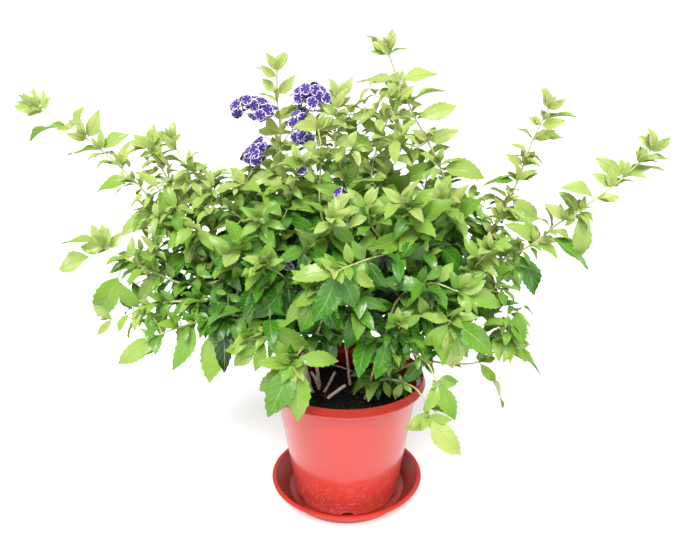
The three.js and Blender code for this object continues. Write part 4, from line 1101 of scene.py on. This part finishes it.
def buildShoot(name, seed):
    chance = random.Random(seed)
    line = lines[name]
    shells = Shells()
    shares = np.linspace(0, 1, max(4, int(line.length / shootTwig["step"])))
    radii = shootTwig["foot"] + (shootTwig["tip"] - shootTwig["foot"]) * shares ** 0.8
    for share, _, _ in shootLeaves[name]:
        away = (shares - share) * line.length / shootTwig["swellLength"]
        radii = radii + 0.5 * shootTwig["swell"] * shootTwig["tip"] * np.exp(-away ** 2)
    ages = shootTwig["woodier"].get(name, shootTwig["age"]) + 0.5 * shares
    sides = shootTwig["sides"]
    shells.addTube(line.smoothRow(len(shares)), radii, sides, 2, np.repeat(ages, sides))

    for share, tip, facing in shootLeaves[name]:
        base = line.smoothAt(share)
        # painted shade: leaves seen on edge, and hanging leaves on these shoots, are made darker
        age = leafAgeAndShade(name, share, tip, chance) - edgeOnShade.get(name, 0) * (1 - facing)
        isHanging = name in edgeOnShade and tip[2] - base[2] < hangingShade["below"]
        age -= hangingShade["shadeDarker"] if isHanging else 0
        addLeaf(shells, base, tip, facing, max(age, 0), chance)
        for _ in range(chance.choice(fillPlan["tuftsInCrown" if isInCrown(base) else "tufts"])):
            addTuft(shells, name, share, base, chance)
    heading = line.headingAt(1)
    for i in range(fillPlan["tipLeaves"]):
        turn = math.pi * i + chance.uniform(-0.5, 0.5)
        reach = unit(heading * chance.uniform(0.7, 1.3) + sideways(heading, turn) + 0.3 * upward)
        tip = line.smoothAt(1) + reach * chance.uniform(*fillPlan["tipLength"])
        age = min(1, leafAgeAndShade(name, 1, tip, chance) + fillPlan["tipYounger"])
        addLeaf(shells, line.smoothAt(0.985), tip, chance.uniform(*fillPlan["tipFacing"]), age, chance)
    fillTo = bareTips.get(name, fillPlan["fillTo"])
    for i in range(int(line.length * fillTo / fillPlan["spacing"])):
        share = chance.uniform(0.1, 0.1 + fillTo)
        length = chance.uniform(*fillPlan["fillLength"]) * (1 - 0.35 * share)
        addPair(shells, name, share, line.smoothAt(share), line.headingAt(share), 2.1 * i, length, chance)
    for share, end in sideTwigs[name]:
        addSideTwig(shells, name, line.smoothAt(share), end, chance)
    makePiece("shoot." + name, shells, ("leafTop", "leafBack", "twig"), ["shoot_" + name])


for seed, name in enumerate(shoots, 1):
    buildShoot(name, seed)
print("shoots:", len(shoots))

# The woody stems thin out upwards and lean a little from side to side
stemPlan = {
    "foot": 2.6, "thinFoot": 1.7, "top": 1.5, "step": 5.0, "sides": 10, "knobs": 0.12, "wander": 0.5,
    "thin": ("stem_middle", "stem_front_right", "stem_back_right"),
}


def scatter(chance, *counts):  # random numbers from -1 to 1, in rows
    return np.array([chance.uniform(-1, 1) for _ in range(math.prod(counts))]).reshape(counts)


def buildStem(name, seed):
    chance = random.Random(100 + seed)
    count = max(6, int(lines[name].length / stemPlan["step"]))
    points = lines[name].smoothRow(count)
    points[1:-1] += scatter(chance, count - 2, 3) * stemPlan["wander"]
    radii = np.linspace(stemPlan["thinFoot" if name in stemPlan["thin"] else "foot"], stemPlan["top"], count)
    shells = Shells()
    shells.addTube(points, radii * (1 + scatter(chance, count) * stemPlan["knobs"]), stemPlan["sides"])
    makePiece(name.replace("_", ".", 1), shells, ("bark",), [name])


for seed, name in enumerate(stems):
    buildStem(name, seed)
print("stems:", len(stems))

# Short stubs at the crown, cut when the plant was last pruned, and two dry twigs
stubPlan = {
    "stubs": (  # foot, top and radius
        ((-45, 2, 144), (-66, -8, 170), 2.9), ((-50, 17, 144), (-58, 35, 168), 2.5),
        ((-37.5, 11, 144), (-48, 10, 170), 2.7), ((-30, 2, 144), (-15.5, 10, 170), 2.5),
        ((-24.5, -15, 144), (-2, -28, 169), 2.9), ((12, 61, 144), (-16, 30, 170), 1.2),
        ((34, 0, 160), (90, -6, 152), 1.0),
    ),
    "bend": 1.5, "knobs": 0.07, "foot": 0.86, "thinner": 0.16, "points": 9, "sides": 10,
}


def buildStubs():
    shells = Shells()
    chance = random.Random(7)
    shares = np.linspace(0, 1, stubPlan["points"])
    for foot, top, radius in stubPlan["stubs"]:
        foot, top = np.array(foot, float), np.array(top, float)
        bend = np.cross(unit(top - foot), frontward) * chance.uniform(-1, 1) * stubPlan["bend"]
        points = foot + np.outer(shares, top - foot) + np.outer(np.sin(math.pi * shares), bend)
        radii = radius * (stubPlan["foot"] - stubPlan["thinner"] * shares)
        radii *= 1 + scatter(chance, stubPlan["points"]) * stubPlan["knobs"]
        shells.addTube(points, radii, stubPlan["sides"])
        shells.finishes[-1] = 1  # the cut end
    makePiece("crown.stubs", shells, ("bark", "cutWood"), [], 40)


buildStubs()

# A raceme: florets with five broad lobes crowd round its axis, with buds at its end; in millimetres
racemePlan = {
    "lobes": 5, "lobeLength": 6.4, "lobeWidth": 7.5, "lobeRows": (0.0, 0.3, 0.6, 0.85, 1.0),
    "lobeWidths": (0.26, 0.66, 0.92, 0.96, 0.60), "lobeColumns": (-1, -0.45, 0.45, 1),
    "lobeHalfThick": 0.12, "throat": 0.8, "cup": 0.5, "tubeLength": 5.2,
    "tubeRadii": (0.95, 0.85, 0.75, 1.15), "stalk": 2.2, "stalkRadii": (0.35, 0.35, 0.5, 0.9),
    "axisFoot": 0.9, "axisTip": 0.5,
    "budLength": 4.0, "budRadii": (0.35, 0.6, 0.75, 1.1, 1.05, 0.4), "sides": 7, "toFront": 0.35,
    "goldenTurn": 2.4,
}
# Each raceme's flowering arms: the points that an arm goes through, and its florets and buds
arms = {
    "raceme_left": [
        ([(-88, 20, 508), (-101, 18, 517), (-113, 18, 521), (-124, 18, 519), (-134, 18, 511)], 17, 5),
        ([(-92, 16, 502), (-103, 14, 508), (-112, 14, 510)], 5, 1),
    ],
    "raceme_top": [
        ([(-63, 18, 521), (-53, 17, 531), (-43, 16, 536), (-33, 16, 532), (-26, 17, 522)], 18, 3),
        ([(-53, 14, 516), (-44, 12, 519), (-37, 12, 518)], 5, 1),
    ],
    "raceme_middle": [
        ([(-66, 17, 487), (-64, 16, 495), (-58, 15, 503), (-51, 15, 508)], 7, 3),
        ([(-64, 15, 484), (-53, 12, 480), (-44, 11, 479)], 7, 3),
    ],
    "raceme_low": [
        ([(-99, 20, 475), (-108, 19, 467), (-117, 17, 459), (-124, 16, 452)], 14, 4),
        ([(-106, 14, 460), (-115, 12, 452)], 6, 1),
    ],
    # the inner raceme is mostly dark buds: partly its own buds, partly painted shade for where it sits in
    # the crown
    "raceme_inner": [([(-58, -74, 345), (-66, -84, 352)], 3, 7)],
    "raceme_small": [([(-10, -18, 411), (-6, -22, 417)], 5, 3)],
    "raceme_tiny": [([(-60, -5, 437), (-51, -10, 438)], 2, 4)],
}
tailEnd = {"raceme_left": [(-147, 18, 511), (-148, 18, 516)]}  # a bare tip beyond the last flower


def addLobe(shells, centre, out, side, chance):
    other = np.cross(out, side)
    rows, columns = racemePlan["lobeRows"], racemePlan["lobeColumns"]
    length = racemePlan["lobeLength"] * chance.uniform(0.9, 1.08)
    droop = chance.uniform(0.0, 0.3)
    points, marks = [], []
    for layer in (racemePlan["lobeHalfThick"], -racemePlan["lobeHalfThick"]):
        for row, width in zip(rows, racemePlan["lobeWidths"]):
            for column in columns:
                far = racemePlan["throat"] + length * row * (1 - 0.06 * column ** 2)
                wide = 0.5 * racemePlan["lobeWidth"] * width * column
                lift = racemePlan["cup"] * (1 - (row - 0.2) ** 2 * 2) + 0.5 * row * column ** 2
                lift -= droop * length * row ** 2
                edge = 0 if abs(column) == 1 or row in (0.0, 1.0) else layer
                points.append(centre + side * far + other * wide + out * (lift + edge))
                marks.append(((column + 1) / 2, row))
    across, down, back = len(columns), len(rows), len(rows) * len(columns)
    faces = []
    for a in (r * across + c for r in range(down - 1) for c in range(across - 1)):
        b = a + across
        faces += [(a, b, b + 1, a + 1), (back + a, back + a + 1, back + b + 1, back + b)]
    ring = [*range(across), *range(2 * across - 1, back, across), *range(back - 2, back - across - 1, -1)]
    ring += range(back - 2 * across, 0, -across)
    for a, b in zip(ring, ring[1:] + ring[:1]):
        faces.append((a, b, back + b, back + a))
    shells.add(points, faces, 0, marks)


def straight(base, out, length, count):  # points in a straight row
    return base + np.outer(np.linspace(0, 1, count) * length, out)


def addFloret(shells, base, out, chance):
    stalk = racemePlan["stalk"] * chance.uniform(0.8, 1.3)
    shells.addTube(straight(base, out, stalk, 4), racemePlan["stalkRadii"], 6, 1)
    throat = straight(base + out * stalk, out, racemePlan["tubeLength"], 4)
    shells.addTube(throat, racemePlan["tubeRadii"], racemePlan["sides"], 3)
    side = sideways(out, chance.uniform(0, 6.3))
    other = np.cross(out, side)
    mouth = base + out * (stalk + racemePlan["tubeLength"])
    for i in range(racemePlan["lobes"]):
        turn = wholeTurn * i / racemePlan["lobes"]
        addLobe(shells, mouth, out, side * math.cos(turn) + other * math.sin(turn), chance)


def addBud(shells, base, out, chance):
    length = racemePlan["budLength"] * chance.uniform(0.7, 1.2)
    radii, sides = racemePlan["budRadii"], racemePlan["sides"]
    start = len(shells.finishes)
    shells.addTube(straight(base, out, length, len(radii)), radii, sides, 3)
    shells.finishes[start:start + 3 * sides] = [1] * (3 * sides)  # the calyx holds its lower part


def addAxis(shells, points):
    radii = np.linspace(racemePlan["axisFoot"], racemePlan["axisTip"], len(points))
    shells.addTube(points, radii, racemePlan["sides"], 2)


def addArm(shells, line, florets, buds, chance):
    addAxis(shells, line.smoothRow(10))
    for i in range(florets):
        share = (i + 0.5) / florets
        heading = line.headingAt(share)
        turned = sideways(heading, racemePlan["goldenTurn"] * i + chance.uniform(-0.3, 0.3))
        out = turned + 0.25 * heading + racemePlan["toFront"] * frontward + 0.15 * upward
        addFloret(shells, line.smoothAt(share), unit(out), chance)
    heading = line.headingAt(1)
    for i in range(buds):
        out = unit(sideways(heading, racemePlan["goldenTurn"] * i) * 0.9 + heading)
        addBud(shells, line.smoothAt(1 - 0.03 * i), out, chance)


def buildRaceme(name, seed):
    chance = random.Random(300 + seed)
    shells = Shells()
    if name in racemes:
        addAxis(shells, [*lines[name].smoothRow(14), *tailEnd.get(name, [])])
    for way, florets, buds in arms[name]:
        addArm(shells, Line(way, 5), florets, buds, chance)
    nodes = [name] if name in racemes else []
    makePiece(name.replace("_", ".", 1), shells, ("petal", "calyx", "twig", "bud"), nodes, 50)


for seed, name in enumerate(arms):
    buildRaceme(name, seed)
print("racemes:", len(arms))

# The pot, the saucer and the soil, in millimetres: the solid model's sizes, with rounded edges.
potPlan = {
    "footZ": 2.7, "height": 172, "footRadius": 70, "shoulderRadius": 95, "rimRadius": 105, "rimBand": 12,
    "wall": 2.2, "plateHeight": 6, "sides": 144, "notches": 6, "notchHalf": 8.6, "notchHeight": 5.9,
    "notchDepth": (62, 80), "notchShift": 0.02, "holes": 6, "holesAt": 42, "holeRadius": 5,
    "ringBelow": 4.2, "ringStand": 0.7,
}


def roundedProfile(corners, radius=0.6, steps=3):
    points = [corners[0]]
    for before, corner, after in zip(corners, corners[1:], corners[2:]):
        before, corner, after = map(np.array, (before, corner, after))
        reach = min(radius, 0.4 * np.linalg.norm(corner - before), 0.4 * np.linalg.norm(after - corner))
        start, end = corner + unit(before - corner) * reach, corner + unit(after - corner) * reach
        for t in np.linspace(0, 1, steps + 1):
            points.append(tuple(start * (1 - t) ** 2 + corner * 2 * t * (1 - t) + end * t ** 2))
    return points + [corners[-1]]


def ringOf(radius, height, sides):
    turns = wholeTurn * np.arange(sides) / sides
    return [(radius * math.cos(turn), radius * math.sin(turn), height) for turn in turns]


# The faces between a point, the rings that follow it and a last point
def turnedFaces(last, sides):
    faces = []
    for j in range(sides):
        k = (j + 1) % sides
        faces.append((0, 1 + k, 1 + j))
        for a in range(1, last - sides, sides):
            faces.append((a + j, a + k, a + sides + k, a + sides + j))
        faces.append((last, last - sides + j, last - sides + k))
    return faces


# A profile of (radius, height) points turned round the upright axis; it starts and ends on the axis
def turnedShell(profile, sides):
    points = [(0, 0, profile[0][1])]
    for radius, height in profile[1:-1]:
        points += ringOf(radius, height, sides)
    points.append((0, 0, profile[-1][1]))
    return points, turnedFaces(len(points) - 1, sides)


def faceMiddles(points, faces):
    middles = [np.mean([points[corner] for corner in face], axis=0) for face in faces]
    return [(math.hypot(x, y), z) for x, y, z in middles]


def wallRadius(z):
    share = (z - potPlan["footZ"]) / (potPlan["height"] - potPlan["rimBand"])
    return potPlan["footRadius"] + (potPlan["shoulderRadius"] - potPlan["footRadius"]) * share


def cutAway(piece, cutters):
    bpy.context.view_layer.update()
    modifier = piece.modifiers.new("cut", "BOOLEAN")
    modifier.operation, modifier.solver, modifier.object = "DIFFERENCE", "EXACT", cutters
    cut = bpy.data.meshes.new_from_object(piece.evaluated_get(bpy.context.evaluated_depsgraph_get()))
    piece.modifiers.clear()
    old, piece.data = piece.data, cut
    bpy.data.meshes.remove(old)
    bpy.data.objects.remove(cutters)
    cut.shade_smooth()
    cut.set_sharp_from_angle(angle=math.radians(35))


# Round cutters for the notches in the pot's foot and for the drain holes
def potCutters():
    shells = Shells()
    turns = np.linspace(0, wholeTurn, 33)[:-1]
    count = len(turns)
    for i in range(potPlan["notches"]):
        turn = wholeTurn * (i + potPlan["notchShift"]) / potPlan["notches"] - math.pi / 2
        outwards = np.array([math.cos(turn), math.sin(turn), 0])
        across = np.array([-outwards[1], outwards[0], 0])
        rings = [
            outwards * depth + potPlan["footZ"] * upward + potPlan["notchHalf"] * math.cos(angle) * across
            + potPlan["notchHeight"] * math.sin(angle) * upward
            for depth in potPlan["notchDepth"] for angle in turns
        ]
        faces = [(j, (j + 1) % count, count + (j + 1) % count, count + j) for j in range(count)]
        faces += [tuple(range(count - 1, -1, -1)), tuple(range(count, 2 * count))]
        shells.add(rings, faces)
    for i in range(potPlan["holes"]):
        turn = wholeTurn * (i + 0.5) / potPlan["holes"] - math.pi / 2
        at, radius = potPlan["holesAt"], potPlan["holeRadius"]
        z = potPlan["footZ"] + potPlan["plateHeight"] - 3
        foot = np.array([at * math.cos(turn), at * math.sin(turn), z])
        shells.addTube([foot, foot + radius * upward, foot + 2 * radius * upward], [radius] * 3, 24)
    cutters = bpy.data.objects.new("potCutters", shells.mesh("potCutters"))
    bpy.context.scene.collection.objects.link(cutters)
    return cutters


def buildPot():
    foot, wall, rim = potPlan["footZ"], potPlan["wall"], potPlan["rimRadius"]
    footRadius, shoulder, stand = potPlan["footRadius"], potPlan["shoulderRadius"], potPlan["ringStand"]
    rimZ = foot + potPlan["height"]
    bandZ, plate = rimZ - potPlan["rimBand"], foot + potPlan["plateHeight"]
    ringZ = bandZ - potPlan["ringBelow"]
    outside = [
        (0, plate), (wallRadius(plate) - wall - 2, plate), (footRadius - 3.2, foot),
        (footRadius - 0.4, foot), (footRadius + 0.2, foot + 1.2), (wallRadius(ringZ - 1.6), ringZ - 1.6),
        (wallRadius(ringZ) + stand, ringZ - 0.6), (wallRadius(ringZ) + stand, ringZ + 0.6),
        (wallRadius(ringZ + 1.6), ringZ + 1.6), (shoulder + 0.6, bandZ - 0.2), (rim - 2.2, bandZ),
        (rim - 0.2, bandZ + 0.4), (rim, bandZ + 1.4), (rim - 0.6, bandZ + 2.6), (rim - 1.3, bandZ + 4.6),
        (rim - 2.6, rimZ - 2.2), (rim - 3.4, rimZ),
    ]
    inside = [
        (rim - 4.6, rimZ), (rim - 5.4, bandZ + 2), (shoulder - wall, bandZ - 2),
        (wallRadius(plate + wall) - wall, plate + wall), (0, plate + wall),
    ]
    points, faces = turnedShell(roundedProfile(outside + inside), potPlan["sides"])
    numbers = []
    # the inside faces and the rim band take finishes painted with shade
    for out, z in faceMiddles(points, faces):
        isInside = out < (rim - 4 if z > bandZ else wallRadius(z) - 1) and z > plate + 1
        numbers.append(1 if isInside else 2 if z > bandZ + 2.5 else 0)
    shells = Shells()
    shells.add(points, faces, numbers)
    materials = ("potPlastic", "potInsideShaded", "potRimShaded")
    pot = makePiece("pot.body", shells, materials, ["pot"], 35)
    cutAway(pot, potCutters())


# Two thin moulded ribs low on the front of the pot: turn from the front in degrees, foot and top
ribPlan = {"turns": (-24.0, -21.4), "foot": 8, "top": 38, "stand": 0.55, "points": 9}


def buildPotRibs():
    shells = Shells()
    heights = np.linspace(ribPlan["foot"], ribPlan["top"], ribPlan["points"])
    radii = ribPlan["stand"] * np.sin(math.pi * np.linspace(0.08, 0.92, ribPlan["points"])) ** 0.4
    for degrees in ribPlan["turns"]:
        turn = math.radians(degrees) - math.pi / 2
        points = [(wallRadius(z) * math.cos(turn), wallRadius(z) * math.sin(turn), z) for z in heights]
        shells.addTube(points, radii, 8)
    makePiece("pot.ribs", shells, ("potPlastic",), [])


saucerPlan = {"lipRadius": 103.5, "baseRadius": 81, "height": 24.5, "wall": 2.4, "sides": 160}


def buildSaucer():
    top, lip = saucerPlan["height"], saucerPlan["lipRadius"]
    base, wall = saucerPlan["baseRadius"], saucerPlan["wall"]
    profile = [
        (0, 0), (base, 0), (lip - 4.2, top - 3), (lip - 0.6, top - 2.6), (lip, top - 0.8), (lip - 1, top),
        (lip - 5.6, top), (lip - 6.4, top - 1.4), (base - 0.6, wall + 1.2), (base - 3, wall), (0, wall),
    ]
    points, faces = turnedShell(roundedProfile(profile, 0.9), saucerPlan["sides"])
    numbers = []
    for out, z in faceMiddles(points, faces):
        numbers.append(int(out < base + (lip - base) * (z / top) - 2.6 and 1 < z < top - 0.4))
    shells = Shells()
    shells.add(points, faces, numbers)
    makePiece("saucer.dish", shells, ("saucerPlastic", "saucerInside"), ["saucer"], 35)


# The soil: a lumpy top that dips at the pot's wall, with crumbs lying on it
soilPlan = {
    "top": 144.7, "bottom": 11.2, "rings": 40, "sides": 120, "rimDip": 2.5, "lump": 3.2,
    "lumps": ((0.7, 0.035, 3.1), (0.55, 0.14, 7.7)),  # share, scale and place in the noise
    "crumbs": 420, "crumbSize": (0.7, 2.6), "crumbStretch": ((0.7, 1.6), (0.7, 1.3), (0.5, 0.9)),
}


def soilHeight(x, y):
    slow, quick = (share * noise.noise((x * scale, y * scale, z)) for share, scale, z in soilPlan["lumps"])
    return soilPlan["top"] + soilPlan["lump"] * (slow + quick)


def soilBed(reach):
    foot = wallRadius(soilPlan["bottom"]) - potPlan["wall"] - 0.6
    rings, sides = soilPlan["rings"], soilPlan["sides"]
    points = [(0, 0, soilHeight(0, 0))]
    for i in range(1, rings + 1):
        dip = soilPlan["rimDip"] if i == rings else 0
        points += [(x, y, soilHeight(x, y) - dip) for x, y, _ in ringOf(reach * i / rings, 0, sides)]
    points += ringOf(foot, soilPlan["bottom"], sides)
    points.append((0, 0, soilPlan["bottom"]))
    faces = turnedFaces(len(points) - 1, sides)
    return points, [(face[0], *face[:0:-1]) for face in faces]  # built from the top, so turned round


def addCrumb(shells, reach, chance):
    radius, turn = reach * math.sqrt(chance.random()), chance.uniform(0, 6.3)
    x, y = radius * math.cos(turn), radius * math.sin(turn)
    least, more = soilPlan["crumbSize"]
    size = least + more * chance.random() ** 3
    spread = [size * chance.uniform(*stretch) for stretch in soilPlan["crumbStretch"]]
    angle = chance.uniform(0, 3.2)
    cos, sin = math.cos(angle), math.sin(angle)
    ball = np.array([(a, b, c) for a in (-1, 1) for b in (-1, 1) for c in (-1, 1)], float) * 0.58
    crumb = ball * [[chance.uniform(0.75, 1.25) for _ in range(3)] for _ in range(8)] * spread
    crumb = crumb @ np.array([(cos, -sin, 0), (sin, cos, 0), (0, 0, 1)]).T
    faces = [(0, 1, 3, 2), (4, 6, 7, 5), (0, 4, 5, 1), (2, 3, 7, 6), (0, 2, 6, 4), (1, 5, 7, 3)]
    shells.add(crumb + (x, y, soilHeight(x, y) + 0.3 * size), faces, 1)


def buildSoil():
    chance = random.Random(11)
    reach = wallRadius(soilPlan["top"]) - potPlan["wall"] - 0.4
    shells = Shells()
    shells.add(*soilBed(reach))
    for _ in range(soilPlan["crumbs"]):
        addCrumb(shells, reach * 0.95, chance)
    makePiece("soil.bed", shells, ("pottingSoil", "soilCrumbs"), ["soil"], 80)


buildPot()
buildPotRibs()
buildSaucer()
buildSoil()
print("pot, saucer and soil")

# A plain white floor that is lit from within a little, and soft light from above and in front
lightPlan = {
    "room": 0.80, "roomFront": 0.76, "roomTop": 0.35, "frontFade": (-0.45, 0.15), "topFade": (0.42, 0.62),
    "floor": 0.75, "floorGlow": 0.2, "floorHalf": 60.0, "floorZ": -0.0004, "exposure": 0.44,
    "sun": {"strength": 3.8, "angle": 32, "height": 52, "turn": -4},
    "lamps": {  # place in metres, width and height in metres, watts
        "backLeft": ((-1.6, 0.5, 0.7), 0.7, 1.6, 4),
        "backRight": ((1.7, 0.6, 0.7), 0.6, 1.6, 4),
    },
    "lookAt": (0.0, 0.0, 0.28),
}


def buildFloor():
    half, z = lightPlan["floorHalf"], lightPlan["floorZ"]
    mesh = bpy.data.meshes.new("floor")
    corners = [(-half, -half, z), (half, -half, z), (half, half, z), (-half, half, z)]
    mesh.from_pydata(corners, [], [(0, 1, 2, 3)])
    finish = Finish("floorWhite")
    finish.set(colour=(lightPlan["floor"],) * 3, roughness=0.9, gloss=0.1)
    finish.set(glow=(1, 1, 1), glowStrength=lightPlan["floorGlow"])
    mesh.materials.append(finish.owner)
    floor = bpy.data.objects.new("floor", mesh)
    bpy.context.scene.collection.objects.link(floor)
    floor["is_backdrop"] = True


def addLamp(name, data, place, towards):
    lamp = bpy.data.objects.new(name, data)
    lamp.location = place
    direction = np.array(towards) - np.array(place)
    tilt = math.acos(-direction[2] / np.linalg.norm(direction))
    lamp.rotation_euler = (tilt, 0, math.atan2(direction[1], direction[0]) - math.pi / 2)
    bpy.context.scene.collection.objects.link(lamp)


# The room is a little darker in front of the plant and overhead than behind it
def lightRoom():
    room = Finish("room", "worlds")
    looking = room.split(room.node("ShaderNodeTexCoord").outputs["Generated"])
    level = room.between(looking[1], *lightPlan["frontFade"], lightPlan["roomFront"], lightPlan["room"])
    level = room.between(looking[2], *lightPlan["topFade"], level, lightPlan["roomTop"])
    background = room.nodes["Background"]
    room.feed(background.inputs["Color"], (1, 1, 1, 1))
    room.feed(background.inputs["Strength"], level)
    bpy.context.scene.world = room.owner


def buildLights():
    plan = lightPlan["sun"]
    data = bpy.data.lights.new("sun", "SUN")
    data.energy, data.angle = plan["strength"], math.radians(plan["angle"])
    height, turn = math.radians(plan["height"]), math.radians(plan["turn"])
    flat = math.cos(height)
    place = (3 * flat * math.sin(turn), -3 * flat * math.cos(turn), 3 * math.sin(height))
    addLamp("sun", data, place, (0, 0, 0))
    for name, (place, width, height, watts) in lightPlan["lamps"].items():
        data = bpy.data.lights.new(name, "AREA")
        data.shape, data.size, data.size_y, data.energy = "RECTANGLE", width, height, watts
        addLamp(name, data, place, lightPlan["lookAt"])


buildFloor()
lightRoom()
buildLights()
bpy.context.scene.view_settings.view_transform = "Standard"
bpy.context.scene.view_settings.exposure = lightPlan["exposure"]

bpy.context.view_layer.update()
meshes = [piece.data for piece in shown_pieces() if piece.type == "MESH"]
print("triangles:", sum(len(mesh.loops) - 2 * len(mesh.polygons) for mesh in meshes))
